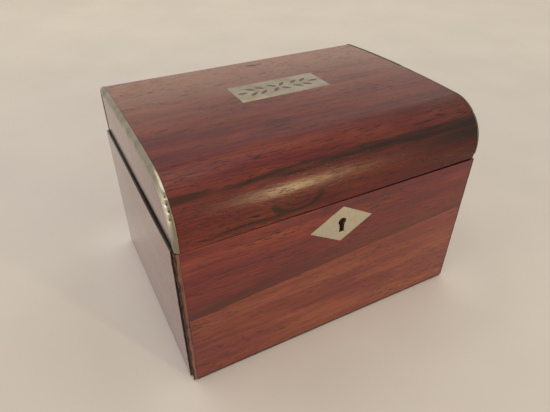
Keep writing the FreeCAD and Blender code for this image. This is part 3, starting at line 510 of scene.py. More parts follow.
# Colour of dirt and of painted shade on the worn strips.
DIRT_AND_SHADE_COLOUR = (0.05, 0.035, 0.022, 1.0)
PATCH_SCALE = (90, 90, 90)
SCRATCH_SCALE = (260, 6000, 2600)
STROKE_SCALE = (5200, 300, 300)


def metal(name, bright, dull, roughness, worn=False):
    """Aged metal with tarnished patches and fine scratches both ways, and if worn, with dirt and painted
    shade, and with rubbing that is partly a painted highlight.
    """
    graph = Graph(name, Metallic=1.0)
    place = graph.place()
    patches = graph.noise(place, PATCH_SCALE, 5, 0.6)
    marks = graph.weighed(graph.noise(place, SCRATCH_SCALE, 2), graph.noise(place, STROKE_SCALE, 2), 0.6)
    colour = graph.ramp(patches, [(0.36, dull), (0.62, bright)])
    if worn:
        # Rubbed patch: partly real rubbing, partly a painted highlight.
        colour = graph.mix(graph.attribute("rubbed"), colour, RUBBED_HIGHLIGHT_COLOUR)
        # Dirt in the dents, and painted shade beside the lid's wood and on hidden faces.
        dirt = graph.span(graph.attribute("dirt"), 0.2, 0.8)
        colour = graph.mix(dirt, colour, DIRT_AND_SHADE_COLOUR)
        graph.feed(graph.shader.inputs["Metallic"], graph.math("SUBTRACT", 1.0, dirt))
    graph.colour(colour)
    tarnish = graph.spread(patches, 0.14, -0.06)
    graph.rough(graph.math("ADD", tarnish, graph.spread(marks, roughness - 0.06, roughness + 0.1)))
    graph.bump(marks, 0.03 * MM, 0.35)
    return graph.material


def mastic():
    """Hard black filling of the plate's engraving, rubbed grey."""
    graph = Graph("black_mastic")
    place = graph.place()
    rubbed = graph.noise(place, (900, 900, 900), 4, 0.65)
    stops = [(0.35, (0.050, 0.034, 0.028)), (0.65, (0.135, 0.098, 0.078))]
    graph.colour(graph.ramp(rubbed, stops))
    graph.rough(graph.spread(rubbed, 0.5, 0.8))
    graph.bump(rubbed, 0.05 * MM, 0.6)
    return graph.material


def lining_paper():
    """Faded paper with brown spots."""
    graph = Graph("lining_paper")
    place = graph.place()
    mottle = graph.noise(place, (45, 45, 45), 5, 0.6)
    fibre = graph.noise(place, (1400, 1700, 1700), 3)
    stains = graph.span(graph.noise(place, (130, 130, 130), 2), 0.66, 0.74)
    colour = graph.ramp(mottle, [(0.35, (0.300, 0.170, 0.165)), (0.65, (0.420, 0.270, 0.245))])
    graph.colour(graph.mix(graph.times(stains, 0.6), colour, (0.20, 0.10, 0.06, 1.0)))
    graph.rough(graph.spread(fibre, 0.75, 0.92))
    graph.bump(fibre, 0.06 * MM, 0.5)
    return graph.material


def baize_cloth():
    """Green woollen baize with a soft nap."""
    graph = Graph("baize_cloth", Sheen_Weight=0.6, Sheen_Roughness=0.5)
    place = graph.place()
    nap = graph.noise(place, (2200, 2200, 2200), 3, 0.7)
    wear = graph.noise(place, (38, 38, 38), 4)
    colour = graph.ramp(wear, [(0.35, (0.022, 0.060, 0.034)), (0.65, (0.050, 0.105, 0.062))])
    graph.colour(graph.shaded(colour, graph.spread(nap, 0.6, 1.3)))
    graph.rough(graph.spread(nap, 0.85, 1.0))
    graph.bump(nap, 0.3 * MM, 0.8)
    return graph.material


# Metals, by their bright and dull colours and their roughness, and woods.
nickel = metal("nickel_silver", (0.51, 0.475, 0.405), (0.43, 0.40, 0.33), 0.36)
plate_metal = metal("nickel_silver_plate", (0.42, 0.375, 0.30), (0.33, 0.29, 0.22), 0.4)
# The strips' nickel silver is darker than the escutcheon's: painted shade, for darker reflections on the left
# strip and shadow on the right one.
shaded_left_metal = metal("nickel_silver_left_strip_shaded", (0.33, 0.30, 0.235), (0.22, 0.193, 0.142), 0.26, worn=True)
shaded_right_metal = metal(
    "nickel_silver_right_strip_shaded", (0.155, 0.138, 0.102), (0.085, 0.072, 0.052), 0.36, worn=True
)
brass = metal("aged_brass", (0.56, 0.41, 0.18), (0.27, 0.175, 0.075), 0.44)
steel = metal("bright_steel", (0.50, 0.49, 0.47), (0.22, 0.20, 0.18), 0.34)
foil = metal("tea_foil", (0.46, 0.46, 0.45), (0.23, 0.225, 0.21), 0.42)
wood_lid = lid_wood()
wood_upper = rosewood("rosewood_upper_front", "x", UPPER_TONES, 0.2, 0.24, streak=seam_shade).material
wood_lower = rosewood("rosewood_lower_front", "x", LOWER_TONES, 0.2, 0.24, streak=foot_shade).material
wood_ends = rosewood("rosewood_ends", "y", END_TONES, 0.93, 0.12, streak=grime, crowd=0.5).material
wood_left_string = rosewood("rosewood_left_string", "z", STRING_TONES, 0.0, 0.0, streak=grime).material
wood_right_string = rosewood("rosewood_right_string", "z", DARK_TONES, 0.2, 0.3, streak=grime).material
wood_rear = rosewood("rosewood_rear", "x", REAR_TONES, 0.2, 0.3).material
wood_inner = rosewood("rosewood_inner_lids", "x", LID_TONES, 0.7, 0.2).material
plain_wood = carcass_wood()
dark_wood = ebonised_wood()


# The lid's outline

RUN_POINTS = 600


class LidOutline:
    """The lid's end outline, by distance along it from the front's foot over the top to the rear's foot."""

    def __init__(self):
        crown_z = LID_TOP - CROWN_RADIUS
        front_y = FRONT + FRONT_ROUNDING
        front_z = crown_z + math.sqrt((CROWN_RADIUS - FRONT_ROUNDING) ** 2 - (CROWN_LINE - front_y) ** 2)
        self.rear_z = crown_z + math.sqrt((CROWN_RADIUS - REAR_ROUNDING) ** 2 - (REAR_SEAM - CROWN_LINE) ** 2)
        front_turn = math.atan2(front_z - crown_z, front_y - CROWN_LINE)
        rear_turn = math.atan2(self.rear_z - crown_z, REAR_SEAM - CROWN_LINE)
        share = np.linspace(0, 1, RUN_POINTS)

        def arc(y, z, radius, start, end):
            turn = start + (end - start) * share
            return np.stack([y + radius * np.cos(turn), z + radius * np.sin(turn), turn])

        def upright(y, start, end, turn):
            return np.stack([y + 0 * share, start + (end - start) * share, turn + 0 * share])

        runs = [
            upright(FRONT, LID_BOTTOM, front_z, math.pi),
            arc(front_y, front_z, FRONT_ROUNDING, math.pi, front_turn),
            arc(CROWN_LINE, crown_z, CROWN_RADIUS, front_turn, rear_turn),
            arc(REAR_SEAM, self.rear_z, REAR_ROUNDING, rear_turn, 0.0),
            upright(BACK, self.rear_z, LID_BOTTOM, 0.0),
        ]
        self.y, self.z, self.turn = np.concatenate(runs, axis=1)
        steps = np.hypot(np.diff(self.y), np.diff(self.z))
        self.along = np.concatenate([[0.0], np.cumsum(steps)])
        ends = self.along[np.cumsum([run.shape[1] for run in runs]) - 1]
        self.shoulder, self.crown_start, self.crown_end, self.rear_start, self.end = ends

    def at_depth(self, y):
        """Place along the outline at a depth from front to rear."""
        return float(np.interp(y, self.y, self.along))

    def points(self, x, along, out):
        """Points at places along the lid, set out from its face. The rear's foot follows the bevel."""
        x, along, out = np.broadcast_arrays(x, along, out)
        turn = np.interp(along, self.along, self.turn)
        y = np.interp(along, self.along, self.y) + out * np.cos(turn)
        z = np.interp(along, self.along, self.z) + out * np.sin(turn) + np.minimum(along, 0)
        foot = np.maximum(LID_BOTTOM, HINGE_Z + (y - HINGE_Y) * BEVEL_SLOPE)
        down = np.clip((along - self.rear_start) / (self.end - self.rear_start), 0, 1)
        z = np.where(along > self.rear_start, self.rear_z + down * (foot - self.rear_z), z)
        return np.stack([x, y, z], axis=-1)


outline = LidOutline()

# Marks on the lid: x across it, and either along its outline or y from front to rear.
FRONT_STREAK = {"left": 27.8 * MM, "right": 25.4 * MM, "width": 5.5 * MM}
FOOT_STREAK = {"left": 1.6 * MM, "right": 9.44 * MM, "width": 3.2 * MM}
# Painted shade on the lid's right front: a narrow band, and a broad darkening.
RIGHT_SHADE_BAND = {"along": 20 * MM, "width": 9 * MM}
RIGHT_FRONT_SHADE = {"along": 18 * MM, "width": 60 * MM}
KNOT_FIGURE = {"x": -30 * MM, "along": 11 * MM, "width": 16 * MM, "height": 8 * MM}
REAR_CHIP = {"x": 7.5 * MM, "y": 57.3 * MM, "length": 8.5 * MM, "width": 2.0 * MM, "depth": 0.35 * MM}
# Width of painted shade along the veneer's joints with the metal strips.
LID_JOINT_SHADE = 1.4 * MM
FOOT_GAP = 1.0 * MM
FOOT_SAG = -0.28 * MM
SKIN_WAVE = 0.09 * MM
SKIN_WAVE_LENGTH = (60 * MM, 14 * MM, 1)
PLATE_FLAT = 4 * MM
INLAY_FIT = 0.05 * MM


def across_lid(x):
    """Place across the lid's veneer, from zero at the left to one at the right."""
    return (x - SKIN_LEFT) / (SKIN_RIGHT - SKIN_LEFT)


def streak_line(streak, across):
    """Where a streak runs along the outline, between its left and right ends."""
    return streak["left"] + across * (streak["right"] - streak["left"])


def spot_reach(spot, x, along):
    """Distance from the middle of a spot on the lid, as a share of its half length and half width."""
    beside = (x - spot["x"]) / spot["length"]
    return np.hypot(beside, (along - outline.at_depth(spot["y"])) / spot["width"])


def between(values, ends, margin=0.0):
    """Which values lie between two ends, or less than a margin past them."""
    return (values > ends[0] - margin) & (values < ends[1] + margin)


def knot_swirl(x, along, wander):
    """Rings of dark figure round a knot, from zero to one, fading upwards."""
    beside = (x - KNOT_FIGURE["x"]) / KNOT_FIGURE["width"]
    above = (along - KNOT_FIGURE["along"]) / KNOT_FIGURE["height"]
    reach = np.hypot(beside, above) + 0.1 * wander / MM
    rings = np.maximum(bump_at(reach - 0.85, 0.34), 0.75 * bump_at(reach - 0.4, 0.22))
    return rings * np.clip(0.75 - above, 0, 1)


def lid_figure(x, along):
    """Dark growth streaks of the lid's veneer, with painted shade along its joints with the strips and a
    painted shade band on its right front, from zero to one.
    """
    across = across_lid(x)
    place = spots(x, along)
    wander = ripple(place, (45 * MM, 30 * MM, 1), 1.6 * MM, 3.0)
    front_line = streak_line(FRONT_STREAK, across) + wander
    front = bump_at(along - front_line, FRONT_STREAK["width"] * (0.8 + 0.7 * across))
    front *= 0.58 + 0.42 * across
    front *= 1 + ripple(place, (26 * MM, 2.0 * MM, 1), 1.0, 6.0)
    foot_line = streak_line(FOOT_STREAK, across) + 1.4 * wander
    fade = np.clip(1.55 - 2.2 * across, 0, 1) * np.clip(across * 8, 0.25, 1)
    foot = 0.95 * fade * bump_at(along - foot_line, FOOT_STREAK["width"])
    starting = np.clip(2.2 * across - 1.1, 0, 1)
    # A dark band on the right front: painted shade.
    shade_band = 0.95 * starting * bump_at(along - RIGHT_SHADE_BAND["along"] + wander, RIGHT_SHADE_BAND["width"])
    # Painted shade along the veneer's joints with the metal strips.
    joint = 0.6 * np.maximum(bump_at(x - SKIN_LEFT, LID_JOINT_SHADE), bump_at(SKIN_RIGHT - x, LID_JOINT_SHADE))
    swirl = knot_swirl(x, along, wander)
    return np.clip(np.maximum.reduce([front, foot, swirl, shade_band, joint]), 0, 1)


def lid_shade(x, along):
    """Painted shade towards the right of the lid's front, as a share of the light tone."""
    starting = np.clip(1.35 * across_lid(x) - 0.35, 0, 1)
    return 1 - 0.58 * starting * bump_at(along - RIGHT_FRONT_SHADE["along"], RIGHT_FRONT_SHADE["width"])


def add_lid_sheet(name, flat, outer, inner, kept, replaced, marks):
    """A sheet of the lid's veneer, with the patterns that are drawn over it."""
    attributes = {label: np.tile(values.ravel(), 2) for label, values in marks.items()}
    attributes["grain"] = doubled(flat, flat - (0, 0, VENEER))
    points = doubled(outer, inner)
    faces = shell_faces(*flat.shape[:2], kept)
    piece = add_piece(name, points, faces, wood_lid, "lid", [replaced], attributes)
    soften(piece, WOOD_EDGE)


def lid_top_sheet():
    """Veneer over the lid's front and top, let in round the plate, with a chip near the rear."""
    plate_low, plate_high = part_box("lid_plate")
    hole_x = [plate_low.x - INLAY_FIT, plate_high.x + INLAY_FIT]
    hole_along = [outline.at_depth(plate_low.y - INLAY_FIT), outline.at_depth(plate_high.y + INLAY_FIT)]
    columns = stations([SKIN_LEFT, *hole_x, SKIN_RIGHT], SHEET_STEP)
    front = stations([0.0, outline.crown_start], CURVE_STEP)[:-1]
    top = stations([outline.crown_start, *hole_along, outline.at_depth(REAR_SEAM)], SHEET_STEP)
    rows = np.concatenate([front, top])
    x, along = np.meshgrid(columns, rows)
    flat = spots(x, along)

    damage = bump_at(spot_reach(REAR_CHIP, x, along) + ripple(flat, 4 * MM, 0.45, 9.0), 1.25)
    near_plate = between(x, hole_x) & between(along, hole_along, PLATE_FLAT)
    wave = ripple(flat, SKIN_WAVE_LENGTH, SKIN_WAVE) + ripple(flat, (9 * MM, 4 * MM, 1), 0.02 * MM, 5.0)
    out = np.where(near_plate, 0.0, wave) - REAR_CHIP["depth"] * damage
    gap = FOOT_SAG + (FOOT_GAP - FOOT_SAG) * across_lid(x)
    lifted = along + gap * np.clip(1 - along / outline.shoulder, 0, 1)
    outer = outline.points(x, lifted, out)
    inner = outline.points(x, lifted, -VENEER)

    in_columns = between((columns[:-1] + columns[1:]) / 2, hole_x)
    in_rows = between((rows[:-1] + rows[1:]) / 2, hole_along)
    kept = ~(in_rows[:, None] & in_columns[None, :])
    marks = {
        "figure": lid_figure(x, along),
        "damage": damage,
        "chatter": np.clip(2 * bump_at(spot_reach(CHATTER, x, along), 1.2), 0, 1),
        "heart": lid_shade(x, along),
    }
    add_lid_sheet("lid_top_sheet", flat, outer, inner, kept, "lid_top_veneer", marks)


def lid_rear_sheet():
    """Veneer over the lid's rear rounding, down to the bevel."""
    columns = stations([SKIN_LEFT, SKIN_RIGHT], 2 * SHEET_STEP)
    rows = stations([outline.at_depth(REAR_SEAM), outline.rear_start, outline.end], CURVE_STEP)
    x, along = np.meshgrid(columns, rows)
    flat = spots(x, along)
    outer = outline.points(x, along, ripple(flat, SKIN_WAVE_LENGTH, SKIN_WAVE))
    inner = outline.points(x, along, -VENEER)
    marks = dict.fromkeys(("figure", "damage", "chatter"), np.zeros_like(x))
    marks["heart"] = np.ones_like(x)
    add_lid_sheet("lid_rear_sheet", flat, outer, inner, None, "lid_rear_veneer", marks)


# Dents in the strips, in millimetres: place along the outline, across from the corner, reach and depth.
LEFT_DENTS = [
    (30.5, -0.9, 2.4, 0.45),
    (27.0, -0.2, 2.1, 1.15),
    (23.4, -0.5, 1.9, 1.05),
    (19.4, 0.2, 1.8, 0.70),
    (66.0, 0.4, 2.6, 0.18),
    (118.0, 0.8, 3.0, 0.20),
]
RIGHT_DENTS = [(31.0, 0.7, 2.4, 0.30), (88.0, 0.5, 2.0, 0.20), (140.0, 0.8, 2.6, 0.22)]
STRIP_JOINT = 102.4 * MM
STRIP_STEP = 0.22 * MM
STRIP_RIPPLE = 0.10 * MM
BROKEN_REACH = 3 * MM
DIRT_AND_SHADE_DEPTH = 0.7 * MM
# Painted shade on the strip's top beside the wood, and on its hidden faces.
JOINT_SHADOW = {"start": 1.6 * MM, "width": 2.2 * MM, "share": 0.42}
HIDDEN_SHADE = 0.6
# A rubbed bright patch on the strip's front, partly real rubbing and partly a painted highlight.
RUBBED_HIGHLIGHT = {"along": 24 * MM, "reach": 20 * MM, "above": 1.1 * MM, "fade": 1.5 * MM}


def strip_section():
    """Section of the edging: inward from the end, outward from the face, and round from the corner."""
    inward, outward, around = [], [], []
    corner = math.pi * EDGING_ROUND / 4

    def add(points_in, points_out, places):
        inward.extend(points_in)
        outward.extend(points_out)
        around.extend(places)

    top = np.array([EDGING_TOP, EDGING_ROUND - EDGING_PROUD])
    add(top, np.full(2, EDGING_PROUD), -corner - (top - top[-1]))
    turn = np.linspace(0, math.pi / 2, 15)[1:-1]
    add(
        EDGING_ROUND - EDGING_PROUD - EDGING_ROUND * np.sin(turn),
        EDGING_PROUD - EDGING_ROUND + EDGING_ROUND * np.cos(turn),
        corner * (4 * turn / math.pi - 1),
    )
    side = np.linspace(EDGING_PROUD - EDGING_ROUND, -EDGING_SIDE, 9)
    add(np.full(9, -EDGING_PROUD), side, corner + (side[0] - side))
    add([VENEER, VENEER, EDGING_TOP], [-EDGING_SIDE, -VENEER, -VENEER], [np.inf] * 3)
    return np.array(inward), np.array(outward), np.array(around)


def strip_push(inward, outward):
    """How dents push each point of the section, inward from the lid's end and down from its face."""
    corner_in = EDGING_ROUND - EDGING_PROUD
    corner_out = EDGING_PROUD - EDGING_ROUND
    to_in = corner_in - np.minimum(inward, corner_in)
    to_out = np.maximum(outward, corner_out) - corner_out
    size = np.maximum(np.hypot(to_in, to_out), 1e-9)
    return to_in / size, to_out / size


def strip_dents(along, around, dents):
    """How deep a strip is dented, and how dark its dents are made by dirt and painted shade."""
    sunk = np.zeros_like(along)
    dirt = np.zeros_like(along)
    for at, beside, reach, depth in dents:
        distance = np.hypot(along - at * MM, around - beside * MM)
        sunk += depth * MM * bump_at(distance, reach * MM)
        grimy_and_shaded = np.clip(depth * MM / DIRT_AND_SHADE_DEPTH, 0, 1) * bump_at(distance, 0.75 * reach * MM)
        dirt = np.maximum(dirt, grimy_and_shaded)
    return sunk, dirt


def strip_rubbed_highlight(along, around):
    """How bright a strip's front is rubbed, partly real rubbing and partly a painted highlight, from zero to
    one.
    """
    beside_corner = np.clip((around + RUBBED_HIGHLIGHT["above"]) / RUBBED_HIGHLIGHT["fade"], 0, 1)
    rubbed = beside_corner * bump_at(along - RUBBED_HIGHLIGHT["along"], RUBBED_HIGHLIGHT["reach"])
    return np.clip(rubbed * (1 + ripple(spots(along, around), (4 * MM, 2 * MM, 1), 0.5, 8.0)), 0, 1)


def edging_strip(side, end_x, inward_sign, dents, start, rubbed_highlight_share, material):
    """Metal angle round one end of the lid, with the dents and ripples of long use."""
    inward, outward, around = strip_section()
    front = stations([start, outline.crown_start], 0.5 * CURVE_STEP)[:-1]
    rest = stations([outline.crown_start, outline.crown_end, outline.rear_start, outline.end], CURVE_STEP)
    rows = np.concatenate([front, rest])
    along = np.repeat(rows[:, None], len(inward), axis=1)
    seen = np.isfinite(around)
    place = np.where(seen, around, 0.0)
    sunk, dirt = strip_dents(along, place, dents)
    # Rubbed patch on the strip's front: partly real rubbing, partly a painted highlight.
    rubbed = rubbed_highlight_share * strip_rubbed_highlight(along, place)
    spread = spots(along, place)
    sunk += np.abs(ripple(spread, (9 * MM, 3 * MM, 1), STRIP_RIPPLE, end_x))
    sunk = np.where(seen, sunk, 0.0)
    # Painted shade on the strip's top beside the wood, and on its hidden faces.
    beside_wood = np.clip((-place - JOINT_SHADOW["start"]) / JOINT_SHADOW["width"], 0, 1)
    dirt = np.maximum(dirt, np.where(seen, JOINT_SHADOW["share"] * beside_wood ** 2, HIDDEN_SHADE))
    if start > 0:
        sunk += np.where(seen & (along < STRIP_JOINT), STRIP_STEP, 0.0)
        broken = ripple(spread, (2 * MM, 1.3 * MM, 1), 0.8 * MM, 4.0)
        along = along + broken * bump_at(along - start, BROKEN_REACH)
    push_in, push_out = strip_push(inward, outward)
    x = end_x + inward_sign * (inward + sunk * push_in)
    points = outline.points(x, along, outward - sunk * push_out)
    faces = loft_faces(len(rows), len(inward))
    attributes = {"dirt": dirt.ravel(), "rubbed": rubbed.ravel()}
    name, replaced = f"lid_{side}_strip", [f"lid_{side}_edging"]
    piece = add_piece(name, points, faces, material, "lid", replaced, attributes)
    soften(piece, METAL_EDGE)


# Ends of the box: the left veneers have worn hollow along the joint, which bares a dark line.
END_HOLLOW = 2.1 * MM
TOP_HOLLOW = 0.9 * MM
HOLLOW_MIDDLE = FRONT + 46 * MM
HOLLOW_REACH = 66 * MM
LID_END_ROWS = 14
LID_END_PROUD = 0.02 * MM
CHIP_DEPTH = 0.9 * MM
CHIP_REACH = 4 * MM


def add_end_sheet(name, outer, inner, grimy_and_shaded, body, node):
    """A sheet of an end's veneer, with dirt along its worn edges."""
    faces = shell_faces(*grimy_and_shaded.shape)
    attributes = {"grime": np.tile(grimy_and_shaded.ravel(), 2)}
    points = doubled(outer, inner)
    piece = add_piece(name, points, faces, wood_ends, body, [node], attributes)
    soften(piece, WOOD_EDGE)


def lid_end_sheet():
    """Veneer of the lid's left end, within the metal edging, with a jagged hollow foot."""
    keys = [outline.shoulder, outline.crown_start, outline.crown_end, outline.rear_start]
    _, y, top = outline.points(0.0, stations(keys, SHEET_STEP), -EDGING_SIDE).T
    rows = np.linspace(0, 1, LID_END_ROWS)
    hollow = END_HOLLOW * bump_at(y - HOLLOW_MIDDLE, HOLLOW_REACH)
    jagged = np.abs(ripple(spots(y, 0.0), 5 * MM, 0.35 * MM, 2.0))
    foot = LID_BOTTOM + hollow + jagged
    z = foot + rows[:, None] * (top - foot)
    bulge = np.abs(ripple(spots(0.0, y, z), 32 * MM, 0.10 * MM, 6.0))
    outer = spots(LID_LEFT - LID_END_PROUD + bulge, y, z)
    inner = spots(LID_LEFT + VENEER, y, z)
    grimy_and_shaded = np.repeat((rows == 0)[:, None], len(y), axis=1)
    add_end_sheet("lid_left_end_sheet", outer, inner, grimy_and_shaded, "lid", "lid_left_end_veneer")


def end_sheet(side, outside, inward_sign, chip_depth, top_hollow):
    """Veneer of one end of the body, chipped along its front edge and worn hollow along its top."""
    node = f"{side}_end_veneer"
    edge = low(node).y
    y = stations([edge, HINGE_Y, BACK], SHEET_STEP)
    rows = stations([FOOT, RIM], 0.8 * SHEET_STEP)
    share = (rows - FOOT) / (RIM - FOOT)
    worn = top_hollow * bump_at(y - HOLLOW_MIDDLE, HOLLOW_REACH)
    top = np.minimum(RIM - worn, HINGE_Z - (y - HINGE_Y) * BEVEL_SLOPE)
    z = FOOT + share[:, None] * (top - FOOT)
    line = spots(0.0, 0.0, rows)
    coarse = np.clip(ripple(line, 7 * MM, 2.2, 1.0) - 0.25, 0, 1)
    fine = np.abs(ripple(line, 2.2 * MM, 0.7, 8.0))
    chips = chip_depth * np.clip(coarse + 0.45 * fine, 0, 1)
    chipped_y = y + chips[:, None] * bump_at(y - edge, CHIP_REACH)
    bulge = np.abs(ripple(spots(0.0, chipped_y, z), 38 * MM, 0.12 * MM, 7.0))
    outer = spots(outside + inward_sign * bulge, chipped_y, z)
    inner = spots(outside + inward_sign * VENEER, chipped_y, z)
    grimy_and_shaded = np.maximum((rows == RIM)[:, None], (y == edge)[None, :])
    add_end_sheet(f"{side}_end_sheet", outer, inner, grimy_and_shaded, "body", node)


STRING_ROUND = 0.5 * MM
STRING_COLUMNS = 10
# Reach of painted shade on the corner strings' groove side.
GROOVE_SHADE_REACH = 2.4 * MM
JOINT_LINE = 0.35 * MM


def bead_section(start, end, width):
    """Section of a corner string, inward from its outer side and from front to rear."""
    turn = np.linspace(0, math.pi / 2, 6)
    arc_in = STRING_ROUND * (1 - np.cos(turn))
    arc_y = start.y + STRING_ROUND * (1 - np.sin(turn))
    front = np.linspace(STRING_ROUND, width, STRING_COLUMNS + 1)[1:]
    side_y = np.linspace(end.y, arc_y[0], 5)[:-1]
    inward = np.concatenate([np.zeros_like(side_y), arc_in, front, [width]])
    return inward, np.concatenate([side_y, arc_y, np.full(STRING_COLUMNS, start.y), [end.y]])


def corner_bead(side, material, ragged):
    """Corner string with a crisp front edge and a side that has splintered away unevenly, darkened there by
    painted shade.
    """
    node = f"front_{side}_corner_string"
    start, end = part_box(node)
    outer_x, inward_sign = (start.x, 1) if side == "left" else (end.x, -1)
    width = end.x - start.x
    section_in, section_y = bead_section(start, end, width)
    levels = stations([start.z, end.z], 0.8 * CURVE_STEP)
    inward, z = np.meshgrid(section_in, levels)
    y = np.repeat(section_y[None, :], len(levels), axis=0)
    spread = spots(0.0, y, z)
    splinters = np.clip(ripple(spread, (1, 1.2 * MM, 6 * MM), 2.0, 2.0) + 0.35, 0, 1)
    hairs = np.abs(ripple(spread, (1, 0.8 * MM, 2 * MM), 0.6, 5.0))
    lost = ragged * np.clip(0.5 + splinters + hairs, 0, 1.6)
    uneven = 1 + ripple(spread, (1, 4 * MM, 7 * MM), 0.8, 3.0)
    # Painted shade on the groove side, and a dark line at the joint with the front veneer.
    grimy_and_shaded = np.maximum(bump_at(inward, GROOVE_SHADE_REACH * uneven), bump_at(width - inward, JOINT_LINE))
    inward = inward + lost * np.clip(1 - inward / (0.6 * width), 0, 1)
    dips = np.abs(ripple(spread, (1, 3 * MM, 9 * MM), 0.18 * MM, 7.0))
    y = y + dips * (y < start.y + STRING_ROUND / 2)
    points = spots(outer_x + inward_sign * inward, y, z)
    faces = loft_faces(len(levels), len(section_in))
    attributes = {"grime": grimy_and_shaded.ravel()}
    name = f"{side}_corner_bead"
    add_piece(name, points, faces, material, "body", [node], attributes)


FOIL = 0.5 * MM
FOIL_SIDE_POINTS = 45
FOIL_LEVELS = 40
FOIL_FLOOR_SHARES = np.linspace(0.04, 0.97, 24)
TOUCH = 1e-7


def tea_foil(name, node):
    """Thin foil lining pressed into a compartment, wrinkled over its walls and floor."""
    start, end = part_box(node)
    corners = [(start.x, start.y), (end.x, start.y), (end.x, end.y), (start.x, end.y), (start.x, start.y)]
    sides = zip(corners, corners[1:])
    ring = np.concatenate([np.linspace(a, b, FOIL_SIDE_POINTS)[:-1] for a, b in sides])
    middle = np.array([(start.x + end.x) / 2, (start.y + end.y) / 2])
    half = np.array([end.x - start.x, end.y - start.y]) / 2

    def level(plan, z):
        return np.column_stack([plan, np.full(len(plan), z)])

    rings = [level(ring, start.z), level(ring, end.z)]
    for z in np.linspace(end.z, start.z + FOIL, FOIL_LEVELS):
        wall = level(middle + (ring - middle) * (half - FOIL) / half, z)
        folds = np.abs(ripple(wall, 9 * MM, 0.55 * MM, 1.0)) + np.abs(ripple(wall, 3 * MM, 0.2 * MM, 3.0))
        offset = wall[:, :2] - middle
        on_wall = np.abs(np.abs(offset) - (half - FOIL)) < TOUCH
        wall[:, :2] -= np.sign(offset) * on_wall * folds[:, None]
        rings.append(wall)
    for share in FOIL_FLOOR_SHARES:
        floor = level(middle + (ring - middle) * (1 - share), start.z + FOIL)
        floor[:, 2] += np.abs(ripple(floor, 8 * MM, 0.5 * MM, 2.0))
        rings.append(floor)
    faces = loft_faces(len(rings), len(ring))
    add_piece(name, np.array(rings), faces, foil, "body", [node])


KNOB_FOOT = 1.2 * MM
KNOB_COVE = 2.0 * MM
KNOB_NECK = 2.6 * MM
KNOB_HEAD = 4.6 * MM
KNOB_GROOVE = 0.12 * MM
KNOB_TURNS = 40


def turned_knob(name, node, body):
    """Turned knob with a rounded foot, a cove, a neck and a round head with a fine groove."""
    start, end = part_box(node)
    centre = (start + end) / 2
    base = high(body).z
    radius = (end.x - start.x) / 2
    head_z = end.z - base - KNOB_HEAD
    profile = []
    for turn in np.linspace(-math.pi / 2, math.pi / 2, 7):
        rounded = radius - KNOB_FOOT / 2 * (1 - math.cos(turn))
        profile.append((rounded, KNOB_FOOT / 2 * (1 + math.sin(turn))))
    for turn in np.linspace(0, math.pi / 2, 9)[1:]:
        hollow = KNOB_NECK + KNOB_COVE * (1 - math.sin(turn))
        profile.append((hollow, KNOB_FOOT + KNOB_COVE * (1 - math.cos(turn))))
    throat = -math.acos(KNOB_NECK / KNOB_HEAD)
    for turn in np.linspace(throat, math.pi / 2, 22)[:-1]:
        groove = KNOB_GROOVE * float(bump_at(turn - 0.05, 0.09))
        profile.append(((KNOB_HEAD - groove) * math.cos(turn), head_z + KNOB_HEAD * math.sin(turn)))
    turns = np.linspace(0, 2 * math.pi, KNOB_TURNS, endpoint=False)
    rings = [spots(centre.x + r * np.cos(turns), centre.y + r * np.sin(turns), base + z) for r, z in profile]
    faces = loft_faces(len(rings), KNOB_TURNS)
    add_piece(name, np.array(rings), faces, dark_wood, body, [node])


TRIM_UNEVEN = 0.5 * MM
TRIM_REACH = 3 * MM


def base_cloth():
    """Baize glued under the base, trimmed by hand, with a slightly uneven edge."""
    start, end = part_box("base_baize")
    columns = stations([start.x, end.x], 2 * SHEET_STEP)
    rows = stations([start.y, end.y], 2 * SHEET_STEP)
    x, y = np.meshgrid(columns, rows)
    flat = spots(x, y)
    uneven = TRIM_UNEVEN * np.abs(ripple(flat, 14 * MM, 1.0, 4.0))
    trimmed_x = x - np.sign(x) * uneven * bump_at(np.abs(x) - end.x, TRIM_REACH)
    trimmed_y = y - np.sign(y) * uneven * bump_at(np.abs(y) - end.y, TRIM_REACH)
    lump = np.abs(ripple(flat, 11 * MM, 0.12 * MM, 1.0))
    points = doubled(spots(trimmed_x, trimmed_y, start.z + lump), spots(trimmed_x, trimmed_y, end.z))
    faces = shell_faces(*x.shape)
    made = add_piece("base_cloth", points, faces, baize_cloth(), "body", ["base_baize"])


# Pieces that replace CAD nodes

lid_top_sheet()
lid_rear_sheet()
edging_strip("left", LID_LEFT, 1, LEFT_DENTS, 0.0, 1.0, shaded_left_metal)
edging_strip("right", LID_RIGHT, -1, RIGHT_DENTS, EDGING_LOST, 0.0, shaded_right_metal)
lid_end_sheet()
end_sheet("left", LEFT, 1, CHIP_DEPTH, TOP_HOLLOW)
end_sheet("right", RIGHT, -1, 0.2 * CHIP_DEPTH, 0.0)
corner_bead("left", wood_left_string, 1.0 * MM)
corner_bead("right", wood_right_string, 0.05 * MM)
for side in ("left", "right"):
    tea_foil(f"{side}_tea_foil", f"{side}_foil_lining")
    turned_knob(f"{side}_turned_knob", f"{side}_inner_knob", f"{side}_inner_lid")
base_cloth()

